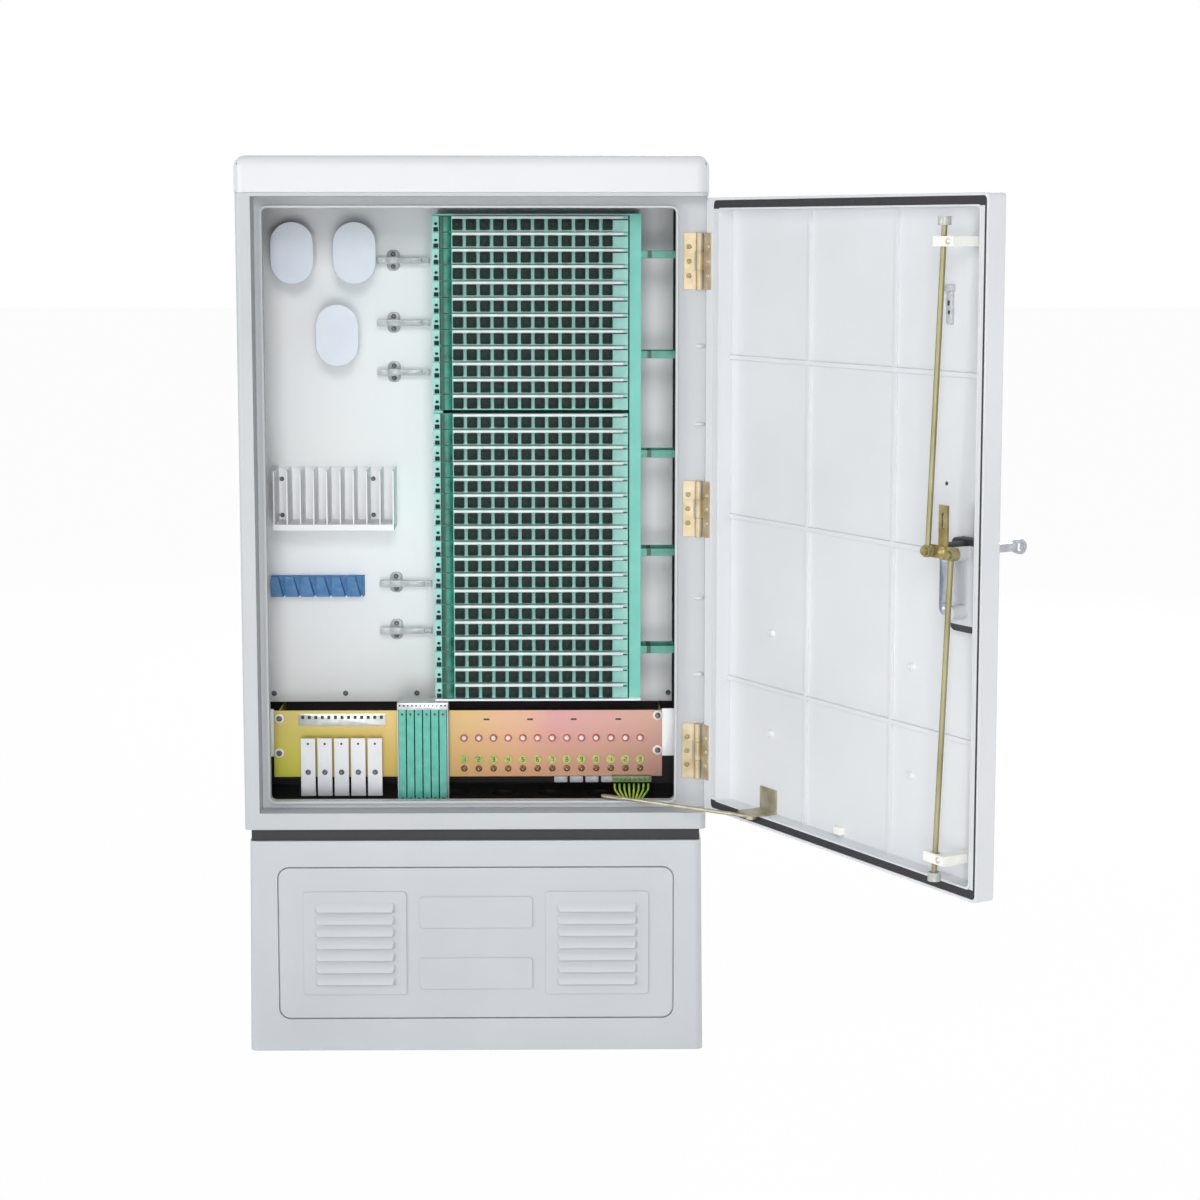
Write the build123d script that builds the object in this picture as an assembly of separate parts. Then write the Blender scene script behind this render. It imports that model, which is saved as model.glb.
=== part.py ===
from build123d import *
import math
import os

# Outdoor fibre cross-connect cabinet, drawn with its door standing open.
# Millimetres, +Z up, +Y towards the back, origin at the centre of the plinth's underside.

# Overall sizes
body_width = 746.0
body_depth = 320.0
body_height = 1022.0
plinth_height = 350.0
band_height = 20.0
cap_height = 58.0

# Clearances and the overrun of every cut
pin_clearance = 0.05
seat_gap = 0.4
cut_overrun = 10.0

# Plinth: hollow moulding, a little wider at the foot
plinth_inset = 7.0
plinth_draft = 4.0
plinth_front_inset = 5.0
plinth_wall = 6.0
plinth_corner_radius = 12.0
base_flange_width = 46.0
base_flange_thickness = 8.0
top_flange_width = 30.0
anchor_hole_radius = 7.0

# Plinth cover: flush panel with louvre fields and blank fields
cover_side_margin = 46.0
cover_bottom = 55.0
cover_top_margin = 45.0
cover_corner_radius = 17.0
cover_gap = 2.0
cover_seat_width = 12.0
cover_seat_depth = 5.0
field_relief = 2.0
field_corner_radius = 6.0
louvre_field_width_share = 0.2625
louvre_field_height_share = 0.688
louvre_field_offset_share = 0.3078
louvre_count = 7
louvre_width_share = 0.78
louvre_pitch_share = 0.1174
louvre_height_share = 0.74
louvre_proud = 7.0
louvre_end_share = 0.46
louvre_end_slope = 35.0
louvre_plan_radius = 6.0
louvre_swell_share = 0.58
louvre_slit_height = 4.0
blank_field_width_share = 0.2875
blank_field_height_share = 0.208
blank_field_offset_share = 0.204

# Band between plinth and body
band_inset = 10.0
band_wall = 24.0

# Roof cap
cap_overhang = 2.0
cap_wall = 6.0
cap_corner_radius = 20.0
cap_edge_radius = 19.0

# Body shell and its front frame
body_wall = 6.0
body_corner_radius = 10.0
post_width = 25.0
top_rail_height = 6.0
bottom_rail_height = 27.0
frame_plate = 6.0
lip_width = 4.0
opening_left_margin = 39.0
opening_right_margin = 50.0
opening_bottom_margin = 40.0
opening_top_margin = 24.0
opening_corner_radius = 8.0
entry_width_share = 0.7084
entry_depth_share = 0.375
entry_back_margin = 24.0

# Door moulding
door_open_angle = 120.0
door_depth = 30.0
door_wall = 4.0
door_gap = 2.0
door_corner_radius = 7.0
hinge_return_depth = 10.0
hinge_rim_width = 20.0
hinge_rim_setback = 10.0
seal_width = 12.0
seal_depth = 10.0
seal_rib = 3.0
panel_rib_width = 7.0
panel_rib_height = 4.0
panel_rib_x_shares = (0.333, 0.667)
panel_rib_z_shares = (0.21, 0.487, 0.755)
lock_pad_width = 70.0
lock_pad_height = 132.0
lock_pad_radius = 10.0

# Hinges
hinge_count = 3
hinge_height = 90.0
hinge_low_inset = 92.0
hinge_high_inset = 100.0
hinge_setback = 12.0
knuckle_radius = 6.0
hinge_pin_radius = 3.0
leaf_thickness = 2.0
leaf_width = 16.0
leaf_reach = 25.0

# Lock: housing with a cup outside, spindle and cam plate inside
lock_edge_distance = 58.0
lock_height_share = 0.49746
plate_thickness = 3.0
plate_margin = 5.0
cup_half_width = 25.0
cup_above = 15.0
cup_below = 112.0
cup_depth = 13.5
cup_wall = 2.5
cup_corner_radius = 8.0
bushing_radius = 14.0
spindle_radius = 8.0
spindle_head_radius = 12.0
handle_pivot_depth = 6.0
handle_pin_radius = 2.0
key_barrel_radius = 10.0
key_barrel_drop = 86.0
key_barrel_length = 26.0
cam_gap = 2.0
cam_thickness = 4.0
cam_arm = 26.0
cam_arm_width = 18.0
tongue_length = 66.0
tongue_slot_length = 22.0
tongue_slot_width = 6.0
stud_radius = 4.0
stud_head_radius = 6.0
stud_head_length = 4.0
hub_bolt_radius = 7.0
hub_bolt_length = 5.0

# Fold-out handle
handle_length = 100.0
handle_width = 12.0
handle_thickness = 9.0
handle_ring_radius = 11.0
handle_ring_hole = 6.0

# Locking rods and their guides
rod_radius = 4.0
rod_eye_radius = 9.0
rod_eye_thickness = 9.0
upper_rod_inset = 44.0
lower_rod_inset = 37.0
roller_radius = 7.0
roller_length = 12.0
guide_height = 14.0
guide_end_distance = 22.0
guide_reach = 10.0
guide_back_reach = 30.0
guide_leg_width = 20.0
guide_cover = 4.5
guide_play_near = 5.0
guide_play_far = 12.0
guide_play_across = 0.8

# Door stay
stay_hinge_distance = 160.0
stay_pin_inset = 3.0
stay_radius = 3.0
stay_eye_radius = 8.0
stay_eye_thickness = 7.0
stay_pin_radius = 3.5
stay_sill_distance = 156.0
stay_sill_inset = 50.0
stay_flat_length = 42.0
stay_flat_width = 11.0
stay_flat_thickness = 3.0
bracket_thickness = 3.0
bracket_width = 44.0
bracket_height = 38.0
bracket_foot_margin = 10.0

# Backboard: folded sheet on the rear wall
board_front_inset = 55.0
board_thickness = 3.0
board_left_gap = 5.0
board_right_gap = 39.0
board_bottom_share = 0.1535
board_top_gap = 10.0

# Fibre spools on the backboard
spool_width = 71.0
spool_height = 102.0
spool_reach = 68.0
spool_flange = 3.0
spool_post_width = 46.0
spool_post_height = 77.0
spool_x_shares = (-0.4155, -0.2752, -0.3161)
spool_z_shares = (0.9109, 0.9109, 0.7762)

# Routing clips on the backboard
clip_z_shares = (0.898, 0.795, 0.7129, 0.3584, 0.2782)
clip_bar_left_share = -0.2289
clip_bar_length_share = 0.1199
clip_bar_height = 10.0
clip_bar_depth = 10.0
clip_base_offset = 26.0
clip_base_width = 14.0
clip_base_height = 36.0
clip_base_thickness = 4.0
clip_reach = 26.0

# Splitter rack on the backboard
rack_left_share = -0.4646
rack_fin_count = 10
rack_fin_pitch_share = 0.03011
rack_fin_thickness = 2.4
rack_bottom_share = 0.4554
rack_height = 99.0
rack_reach = 84.0
rack_shelf = 10.0
rack_back = 3.0
rack_fin_setback = 5.0

# Parking strip with slanted slots
strip_left_share = -0.4809
strip_bottom_share = 0.3366
strip_height = 34.0
strip_depth = 25.0
strip_slots = 6
strip_pitch_share = 0.0357
strip_slot_depth = 15.0
strip_slot_top_share = 0.5
strip_slot_foot_share = 0.14
strip_end_wall = 2.0

# Swing-out trays and the frame that carries them
tray_count = 30
tray_upper_count = 12
tray_pitch_share = 0.02594
tray_gap = 0.8
tray_seam = 5.0
tray_top_inset = 43.0
tray_pivot_x_share = -0.08447
tray_pivot_y_share = 0.3625
tray_swing_share = 0.4237
tray_arc_steps = 3
tray_front_reach = 6.0
tray_board_gap = 10.0
tray_wall = 2.0
tray_floor = 2.0
tray_drum_radius = 24.0
tray_drum_sides = 8
tray_drum_height = 14.0
tray_drum_x_shares = (0.3, 0.72)
tray_drum_y_share = 0.55
tray_eye_left = 7.0
tray_body_left = 12.0
tray_eye_clearance = 0.4
adapter_count = 12
adapter_first_share = 0.1125
adapter_pitch_share = 0.07074
adapter_width_share = 0.773
adapter_height_share = 0.725
adapter_proud = 12.0
tray_rod_radius = 2.0
column_setback = 10.0
column_right_gap = 2.0
column_width = 19.0
left_column_width = 16.0
column_sheet = 2.0
frame_shelf = 3.0
frame_shelf_proud = 6.0

# Routing arms beside the trays
arm_count = 5
arm_first_share = 0.9089
arm_pitch_share = 0.1604
arm_length = 56.0
arm_depth = 50.0
arm_height = 12.0
arm_wall = 2.5

# Earth panel, splice cradle, clamps and terminal bar in the lower bay
panel_left_share = -0.4632
panel_right_share = 0.4183
panel_front_share = 0.4375
panel_sheet = 2.0
panel_flange_gap = 6.0
panel_lift = 51.0
panel_top_share = 0.1614
cradle_left_share = -0.1785
cradle_sheet = 1.5
cradle_depth = 46.0
cradle_lift = 17.0
cradle_top_share = 0.1832
splice_count = 6
splice_pitch = 13.4
splice_width = 11.6
splice_proud = 4.0
splice_height_gap = 3.0
clamp_count = 5
clamp_first_share = -0.3992
clamp_pitch_share = 0.03774
clamp_width_share = 0.866
clamp_lift = 24.0
clamp_top_share = 0.1198
clamp_standoff = 23.0
clamp_sheet = 2.0
clamp_post_radius = 3.0
clamp_post_shares = (0.4, 0.9)
clamp_foot = 14.0
bar_left_share = 0.3025
bar_length = 68.0
bar_height = 18.0
bar_depth = 18.0
bar_lift = 40.0
wire_count = 8
wire_radius = 1.8
wire_pitch = 8.0
wire_bundle_pitch = 4.6
wire_drop = 10.0
wire_forward = 7.0
wire_bend = 9.0

# Gland plate over the cable entry
gland_sheet = 3.0
gland_margin = 16.0
gland_count = 6
gland_radius = 21.0
gland_pitch_share = 0.1538

# Places that follow from the sizes above
front_y = -body_depth / 2
back_y = body_depth / 2
body_bottom = plinth_height + band_height
body_top = body_bottom + body_height
rebate_depth = door_depth + 2 * knuckle_radius
rebate_y = front_y + rebate_depth
frame_back = rebate_y + frame_plate
rebate_left = -body_width / 2 + post_width
rebate_bottom = body_bottom + bottom_rail_height
rebate_top = body_top - top_rail_height
opening_left = -body_width / 2 + opening_left_margin
opening_right = body_width / 2 - opening_right_margin
opening_bottom = body_bottom + opening_bottom_margin
opening_top = body_top - opening_top_margin
inner_half_width = body_width / 2 - body_wall
inner_width = 2 * inner_half_width
inner_height = body_height - 2 * body_wall
rear_wall = back_y - body_wall
floor_top = body_bottom + body_wall
hinge_x = body_width / 2 - hinge_setback
hinge_y = rebate_y - knuckle_radius
door_left = rebate_left + door_gap
door_right = body_width / 2
door_bottom = rebate_bottom + door_gap
door_top = rebate_top - door_gap
rim_y = front_y + door_depth
skin_y = front_y + door_wall
hinge_rim_right = hinge_x - hinge_rim_setback
hinge_rim_left = hinge_rim_right - hinge_rim_width
lock_x = door_left + lock_edge_distance
lock_height = door_bottom + lock_height_share * (door_top - door_bottom)
upper_rod_top = door_top - upper_rod_inset
lower_rod_bottom = door_bottom + lower_rod_inset
cup_floor_y = front_y + cup_depth
cam_y = frame_back + cam_gap
cam_top_y = cam_y + cam_thickness
rod_y = cam_top_y + seat_gap + rod_eye_thickness / 2
board_y = back_y - board_front_inset
board_bottom = floor_top + board_bottom_share * inner_height
panel_front = front_y + panel_front_share * body_depth
panel_back = panel_front + panel_sheet
panel_left = panel_left_share * inner_width
panel_right = panel_right_share * inner_width
panel_bottom = floor_top + panel_lift
panel_top = floor_top + panel_top_share * inner_height


def block(x0, x1, y0, y1, z0, z1):
    """Rectangular block between two corners."""
    place = Pos((x0 + x1) / 2, (y0 + y1) / 2, (z0 + z1) / 2)
    return place * Box(x1 - x0, y1 - y0, z1 - z0)


def plate(x0, x1, z0, z1, y0, y1, radius):
    """Upright plate with rounded corners, from y0 back to y1."""
    middle = Plane(((x0 + x1) / 2, y1, (z0 + z1) / 2), x_dir=(1, 0, 0), z_dir=(0, -1, 0))
    return extrude(middle * RectangleRounded(x1 - x0, z1 - z0, radius), y1 - y0)


def pin_y(x, z, y0, y1, radius):
    """Round pin along Y."""
    start = Plane((x, y1, z), x_dir=(1, 0, 0), z_dir=(0, -1, 0))
    return extrude(start * Circle(radius), y1 - y0)


def pin_z(x, y, z0, z1, radius):
    """Round pin along Z."""
    return extrude(Pos(x, y, z0) * Circle(radius), z1 - z0)


def bar(start, end, radius):
    """Round bar between two points."""
    run = Vector(*end) - Vector(*start)
    return extrude(Plane(start, z_dir=run) * Circle(radius), run.length)


def swung(piece):
    """Turn a piece drawn on the closed door out to the open position."""
    return piece.rotate(Axis((hinge_x, hinge_y, 0), (0, 0, 1)), door_open_angle)


def swung_point(x, y):
    """Where a point of the closed door lies once the door stands open."""
    turn = math.radians(door_open_angle)
    dx = x - hinge_x
    dy = y - hinge_y
    along = hinge_x + dx * math.cos(turn) - dy * math.sin(turn)
    across = hinge_y + dx * math.sin(turn) + dy * math.cos(turn)
    return along, across


def tapered_case(bottom_width, top_width, depth, z0, z1, corner):
    """Upright case whose two sides lean in towards the top, with rounded upright edges."""
    outline = [
        (-bottom_width / 2, z0),
        (bottom_width / 2, z0),
        (top_width / 2, z1),
        (-top_width / 2, z1),
    ]
    face = Plane((0, depth / 2, 0), x_dir=(1, 0, 0), z_dir=(0, -1, 0)) * Polygon(*outline, align=None)
    case = extrude(face, depth)
    if corner:
        sides = case.faces().sort_by(Axis.X)
        edges = sides[0].edges() + sides[-1].edges()
        upright = [edge for edge in edges if abs(edge.tangent_at(0).Y) < abs(edge.tangent_at(0).Z)]
        case = fillet(upright, corner)
    return case


plinth_top_width = body_width - 2 * plinth_inset
plinth_bottom_width = plinth_top_width + 2 * plinth_draft
plinth_depth = body_depth - 2 * plinth_front_inset
plinth_front = -plinth_depth / 2
cover_width = plinth_top_width - 2 * cover_side_margin
cover_height = plinth_height - cover_bottom - cover_top_margin
cover_centre_z = cover_bottom + cover_height / 2
louvre_field_width = louvre_field_width_share * cover_width
louvre_field_height = louvre_field_height_share * cover_height
louvre_field_offset = louvre_field_offset_share * cover_width
louvre_width = louvre_width_share * louvre_field_width
louvre_pitch = louvre_pitch_share * louvre_field_height
louvre_height = louvre_height_share * louvre_pitch
louvre_end_radius = louvre_end_share * louvre_height
blank_field_width = blank_field_width_share * cover_width
blank_field_height = blank_field_height_share * cover_height
blank_field_offset = blank_field_offset_share * cover_height
anchor_x = plinth_bottom_width / 2 - plinth_wall - base_flange_width / 2
anchor_y = plinth_depth / 2 - plinth_wall - base_flange_width / 2


def make_plinth():
    """Hollow plinth with an inward foot flange, a top flange and the step that the cover sits on."""
    shell = tapered_case(
        plinth_bottom_width, plinth_top_width, plinth_depth, 0, plinth_height, plinth_corner_radius
    )
    hollow = tapered_case(
        plinth_bottom_width - 2 * plinth_wall,
        plinth_top_width - 2 * plinth_wall,
        plinth_depth - 2 * plinth_wall,
        base_flange_thickness,
        plinth_height - base_flange_thickness,
        0,
    )
    foot_half_x = plinth_bottom_width / 2 - plinth_wall - base_flange_width
    foot_half_y = plinth_depth / 2 - plinth_wall - base_flange_width
    foot = block(-foot_half_x, foot_half_x, -foot_half_y, foot_half_y, -cut_overrun, plinth_height / 2)
    top_half_x = plinth_top_width / 2 - plinth_wall - top_flange_width
    top_half_y = plinth_depth / 2 - plinth_wall - top_flange_width
    top = block(
        -top_half_x, top_half_x, -top_half_y, top_half_y, plinth_height / 2, plinth_height + cut_overrun
    )
    shell = shell - hollow - foot - top
    reach_x = cover_width / 2 + cover_gap
    low = cover_bottom - cover_gap
    high = cover_bottom + cover_height + cover_gap
    inner_wall = plinth_front + plinth_wall
    seat = plate(
        -reach_x - cover_seat_width, reach_x + cover_seat_width,
        low - cover_seat_width, high + cover_seat_width,
        inner_wall, inner_wall + cover_seat_depth, cover_corner_radius + cover_seat_width,
    )
    recess = plate(
        -reach_x, reach_x, low, high, plinth_front - cut_overrun, inner_wall, cover_corner_radius + cover_gap
    )
    window = plate(
        -reach_x + cover_seat_width, reach_x - cover_seat_width,
        low + cover_seat_width, high - cover_seat_width,
        plinth_front - cut_overrun, inner_wall + cover_seat_depth + cut_overrun, cover_corner_radius,
    )
    shell = shell + seat - recess - window
    for x in (-anchor_x, anchor_x):
        for y in (-anchor_y, anchor_y):
            shell -= pin_z(x, y, -cut_overrun, base_flange_thickness + cut_overrun, anchor_hole_radius)
    return shell


def make_louvre(x, bottom, face):
    """One hooded louvre: it swells down to its open lower edge and has rounded, sloping ends."""
    top = (face, bottom + louvre_height)
    lip = (face - louvre_proud, bottom)
    swell = (face - louvre_swell_share * louvre_proud, bottom + louvre_height / 2)
    side = Plane((x - louvre_width / 2, 0, 0), x_dir=(0, 1, 0), z_dir=(1, 0, 0))
    foot = (face, bottom)
    profile = make_face(ThreePointArc(top, swell, lip) + Line(lip, foot) + Line(foot, top))
    hood = extrude(side * profile, louvre_width, dir=(1, 0, 0))
    front = Plane((x, face, bottom), x_dir=(1, 0, 0), z_dir=(0, -1, 0))
    ends = RectangleRounded(louvre_width, 2 * louvre_height, louvre_end_radius)
    hood &= extrude(front * ends, louvre_proud, taper=louvre_end_slope)
    plan = Pos(x, face, bottom) * RectangleRounded(louvre_width, 2 * louvre_proud, louvre_plan_radius)
    return hood & extrude(plan, louvre_height)


def make_plinth_cover():
    """Flush cover with two louvred fields and two blank fields in low relief."""
    cover = plate(
        -cover_width / 2, cover_width / 2, cover_bottom, cover_bottom + cover_height,
        plinth_front, plinth_front + plinth_wall, cover_corner_radius,
    )
    face = plinth_front - field_relief
    for shift in (-blank_field_offset, blank_field_offset):
        z = cover_centre_z + shift
        cover += plate(
            -blank_field_width / 2, blank_field_width / 2,
            z - blank_field_height / 2, z + blank_field_height / 2,
            face, plinth_front, field_corner_radius,
        )
    for x in (-louvre_field_offset, louvre_field_offset):
        cover += plate(
            x - louvre_field_width / 2, x + louvre_field_width / 2,
            cover_centre_z - louvre_field_height / 2, cover_centre_z + louvre_field_height / 2,
            face, plinth_front, field_corner_radius,
        )
        slit_half = louvre_width / 2 - louvre_end_radius
        for row in range(louvre_count):
            step = row - (louvre_count - 1) / 2
            bottom = cover_centre_z + step * louvre_pitch - louvre_height / 2
            cover += make_louvre(x, bottom, face)
            cover -= block(
                x - slit_half, x + slit_half,
                face - louvre_proud / 2, plinth_front + plinth_wall + cut_overrun,
                bottom, bottom + louvre_slit_height,
            )
    return cover


def make_plinth_band():
    """Dark recessed frame between plinth and body."""
    half_x = body_width / 2 - band_inset
    half_y = body_depth / 2 - band_inset
    ring = block(-half_x, half_x, -half_y, half_y, plinth_height, body_bottom)
    return ring - block(
        -half_x + band_wall, half_x - band_wall, -half_y + band_wall, half_y - band_wall,
        plinth_height - cut_overrun, body_bottom + cut_overrun,
    )


def make_roof_cap():
    """Moulded roof with rounded edges, hollow underneath."""
    half_x = body_width / 2 + cap_overhang
    half_y = body_depth / 2 + cap_overhang
    cap = block(-half_x, half_x, -half_y, half_y, body_top, body_top + cap_height)
    cap = fillet(cap.edges().filter_by(Axis.Z), cap_corner_radius)
    cap = fillet(cap.faces().sort_by(Axis.Z)[-1].edges(), cap_edge_radius)
    hollow_x = half_x - cap_wall
    hollow_y = half_y - cap_wall
    return cap - block(
        -hollow_x, hollow_x, -hollow_y, hollow_y, body_top - cut_overrun, body_top + cap_height - 2 * cap_wall
    )


entry_width = entry_width_share * inner_width
entry_depth = entry_depth_share * body_depth
entry_back = rear_wall - entry_back_margin
entry_front = entry_back - entry_depth


def make_body_shell():
    """Moulded case: left post, rails, hinge jamb, rebate for the door and a raised lip round the opening."""
    shell = block(-body_width / 2, body_width / 2, front_y, back_y, body_bottom, body_top)
    shell = fillet(shell.edges().filter_by(Axis.Z), body_corner_radius)
    shell -= block(
        -inner_half_width, inner_half_width, frame_back, rear_wall, floor_top, body_top - body_wall
    )
    shell -= block(
        rebate_left, body_width / 2 + cut_overrun, front_y - cut_overrun, rebate_y, rebate_bottom, rebate_top
    )
    lip_tip = rim_y + seat_gap
    shell += plate(
        opening_left - lip_width, opening_right + lip_width,
        opening_bottom - lip_width, opening_top + lip_width,
        lip_tip, frame_back, opening_corner_radius + lip_width,
    )
    shell -= plate(
        opening_left, opening_right, opening_bottom, opening_top,
        front_y - cut_overrun, frame_back + cut_overrun, opening_corner_radius,
    )
    return shell - block(
        -entry_width / 2, entry_width / 2, entry_front, entry_back,
        body_bottom - cut_overrun, floor_top + cut_overrun,
    )


cup_left = lock_x - cup_half_width
cup_right = lock_x + cup_half_width
cup_low = lock_height - cup_below
cup_high = lock_height + cup_above
recess_left = door_left + door_wall + seal_width + seal_rib
recess_right = hinge_rim_left - seal_width - seal_rib
recess_bottom = door_bottom + door_wall + seal_width + seal_rib
recess_top = door_top - door_wall - seal_width - seal_rib


def seal_ring(y0, y1, narrower):
    """Ring in the seal channel of the closed door, narrower by a margin on each side."""
    outer = plate(
        door_left + door_wall + narrower, hinge_rim_left - narrower,
        door_bottom + door_wall + narrower, door_top - door_wall - narrower, y0, y1, door_corner_radius,
    )
    inset = door_wall + seal_width - narrower
    inner = plate(
        door_left + inset, hinge_rim_left - inset + door_wall, door_bottom + inset, door_top - inset,
        y0 - cut_overrun, y1 + cut_overrun, door_corner_radius,
    )
    return outer - inner


def make_door_panel():
    """Moulded door: skin, flanges, seal channel, hinge rim and a ribbed inner face."""
    door = plate(door_left, hinge_rim_right, door_bottom, door_top, front_y, rim_y, door_corner_radius)
    door += block(
        (door_left + hinge_rim_right) / 2, door_right, front_y, skin_y, door_bottom, door_top
    )
    door += block(
        door_right - door_wall, door_right, front_y, front_y + hinge_return_depth, door_bottom, door_top
    )
    door -= seal_ring(rim_y - seal_depth, rim_y + cut_overrun, 0)
    door -= plate(
        recess_left, recess_right, recess_bottom, recess_top, skin_y, rim_y + cut_overrun, door_corner_radius
    )
    rib_top = skin_y + panel_rib_height
    for share in panel_rib_x_shares:
        x = recess_right + share * (recess_left - recess_right)
        door += block(
            x - panel_rib_width / 2, x + panel_rib_width / 2, skin_y, rib_top, recess_bottom, recess_top
        )
    for share in panel_rib_z_shares:
        z = recess_bottom + share * (recess_top - recess_bottom)
        door += block(
            recess_left, recess_right, skin_y, rib_top, z - panel_rib_width / 2, z + panel_rib_width / 2
        )
    pad_left = recess_left
    pad_z = (cup_low + cup_high) / 2
    door += plate(
        pad_left, pad_left + lock_pad_width, pad_z - lock_pad_height / 2, pad_z + lock_pad_height / 2,
        skin_y, rib_top, lock_pad_radius,
    )
    door -= plate(
        cup_left - cup_wall - seat_gap, cup_right + cup_wall + seat_gap,
        cup_low - cup_wall - seat_gap, cup_high + cup_wall + seat_gap,
        front_y - cut_overrun, rib_top + cut_overrun / 2, cup_corner_radius + cup_wall + seat_gap,
    )
    return swung(door)


def make_door_seal():
    """Rubber strip in the door's seal channel."""
    return swung(seal_ring(rim_y - seal_depth, rim_y - seat_gap, seat_gap))


hinge_first = door_bottom + hinge_low_inset
hinge_pitch = (door_top - hinge_high_inset - hinge_first) / (hinge_count - 1)
hinge_bottoms = [hinge_first + row * hinge_pitch - hinge_height / 2 for row in range(hinge_count)]
knuckle_share = 1 / 3


def make_hinge_frame_leaves():
    """Leaves on the hinge jamb: two outer knuckles and the pin on each."""
    leaves = []
    third = hinge_height * knuckle_share
    neck_left = hinge_x - knuckle_radius - leaf_thickness
    for bottom in hinge_bottoms:
        leaf = block(
            hinge_x - leaf_reach, neck_left, rebate_y - leaf_thickness, rebate_y,
            bottom, bottom + hinge_height,
        )
        leaf += pin_z(hinge_x, hinge_y, bottom, bottom + hinge_height, hinge_pin_radius)
        for start in (bottom, bottom + hinge_height - third):
            leaf += block(neck_left, hinge_x, rebate_y - leaf_thickness, rebate_y, start, start + third)
            leaf += pin_z(hinge_x, hinge_y, start, start + third, knuckle_radius)
        leaves.append(leaf)
    return Compound(children=leaves)


def make_hinge_door_leaves():
    """Leaves on the door's hinge rim: the middle knuckle, turning on the pin."""
    leaves = []
    third = hinge_height * knuckle_share
    neck_left = hinge_x - knuckle_radius - leaf_thickness
    for bottom in hinge_bottoms:
        low = bottom + third + seat_gap
        high = bottom + hinge_height - third - seat_gap
        leaf = block(
            neck_left - leaf_width, neck_left, rim_y, rim_y + leaf_thickness, bottom, bottom + hinge_height
        )
        leaf += block(neck_left, hinge_x, rim_y, rim_y + leaf_thickness, low, high)
        leaf += pin_z(hinge_x, hinge_y, low, high, knuckle_radius)
        leaf -= pin_z(hinge_x, hinge_y, low, high, hinge_pin_radius + pin_clearance)
        leaves.append(swung(leaf))
    return Compound(children=leaves)


def make_lock_housing():
    """Outer plate with a cup for the handle, spindle bushing and key barrel, in one casting."""
    housing = plate(
        cup_left - cup_wall - plate_margin, cup_right + cup_wall + plate_margin,
        cup_low - cup_wall - plate_margin, cup_high + cup_wall + plate_margin,
        front_y - plate_thickness, front_y, cup_corner_radius + cup_wall + plate_margin,
    )
    housing += plate(
        cup_left - cup_wall, cup_right + cup_wall, cup_low - cup_wall, cup_high + cup_wall,
        front_y, cup_floor_y + cup_wall, cup_corner_radius + cup_wall,
    )
    housing -= plate(
        cup_left, cup_right, cup_low, cup_high, front_y - plate_thickness - cut_overrun, cup_floor_y,
        cup_corner_radius,
    )
    housing += pin_y(lock_x, lock_height, cup_floor_y, cam_y - seat_gap, bushing_radius)
    housing += pin_y(
        lock_x, lock_height - key_barrel_drop, cup_floor_y, cup_floor_y + key_barrel_length, key_barrel_radius
    )
    housing -= pin_y(
        lock_x, lock_height, cup_floor_y - cut_overrun, cam_y + cut_overrun, spindle_radius + pin_clearance
    )
    return swung(housing)


handle_pivot_y = front_y + handle_pivot_depth


def make_lock_cam():
    """Spindle with its forked head, cam plate with tongue, two rod studs and the hub bolt."""
    head_front = handle_pivot_y - handle_pin_radius - leaf_thickness
    cam = pin_y(lock_x, lock_height, head_front, cup_floor_y - seat_gap, spindle_head_radius)
    slot_half = handle_width / 2 + seat_gap
    slot_floor = handle_pivot_y + handle_thickness / 2 + seat_gap
    cam -= block(
        lock_x - spindle_head_radius, lock_x + spindle_head_radius, head_front - cut_overrun, slot_floor,
        lock_height - slot_half, lock_height + slot_half,
    )
    cam += pin_z(
        lock_x, handle_pivot_y, lock_height - spindle_head_radius + leaf_thickness,
        lock_height + spindle_head_radius - leaf_thickness, handle_pin_radius,
    )
    cam += pin_y(lock_x, lock_height, cup_floor_y - seat_gap, cam_y, spindle_radius)
    face = Plane((lock_x, cam_top_y, lock_height), x_dir=(1, 0, 0), z_dir=(0, -1, 0))
    outline = SlotCenterToCenter(2 * cam_arm, cam_arm_width)
    tongue = Pos(0, tongue_length / 2) * Rectangle(cam_arm_width, tongue_length)
    slot_z = tongue_length - tongue_slot_length
    slot = Pos(0, slot_z) * SlotOverall(tongue_slot_length, tongue_slot_width, rotation=90)
    cam += extrude(face * (outline + tongue - slot), cam_thickness)
    stud_top = rod_y + rod_eye_thickness / 2 + seat_gap
    for x in (lock_x - cam_arm, lock_x + cam_arm):
        cam += pin_y(x, lock_height, cam_y, stud_top, stud_radius)
        cam += pin_y(x, lock_height, stud_top, stud_top + stud_head_length, stud_head_radius)
    cam += pin_y(lock_x, lock_height, cam_top_y, cam_top_y + hub_bolt_length, hub_bolt_radius)
    return swung(cam)


def make_lock_handle():
    """Handle folded out: an eye on the spindle's pin, a neck and a ring at the end."""
    side = Plane((lock_x, handle_pivot_y, lock_height - handle_width / 2))
    ring_reach = handle_length - handle_ring_radius
    neck = Pos(0, -ring_reach / 2) * Rectangle(handle_thickness, ring_reach)
    handle = extrude(side * (neck + Circle(handle_thickness / 2)), handle_width)
    ring_side = (lock_x - handle_thickness / 2, handle_pivot_y - ring_reach, lock_height)
    across = Plane(ring_side, x_dir=(0, 1, 0), z_dir=(1, 0, 0))
    handle += extrude(across * Circle(handle_ring_radius), handle_thickness)
    handle -= extrude(across * Circle(handle_ring_hole), handle_thickness)
    handle -= pin_z(
        lock_x, handle_pivot_y, lock_height - handle_width, lock_height + handle_width,
        handle_pin_radius + pin_clearance,
    )
    return swung(handle)


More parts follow.
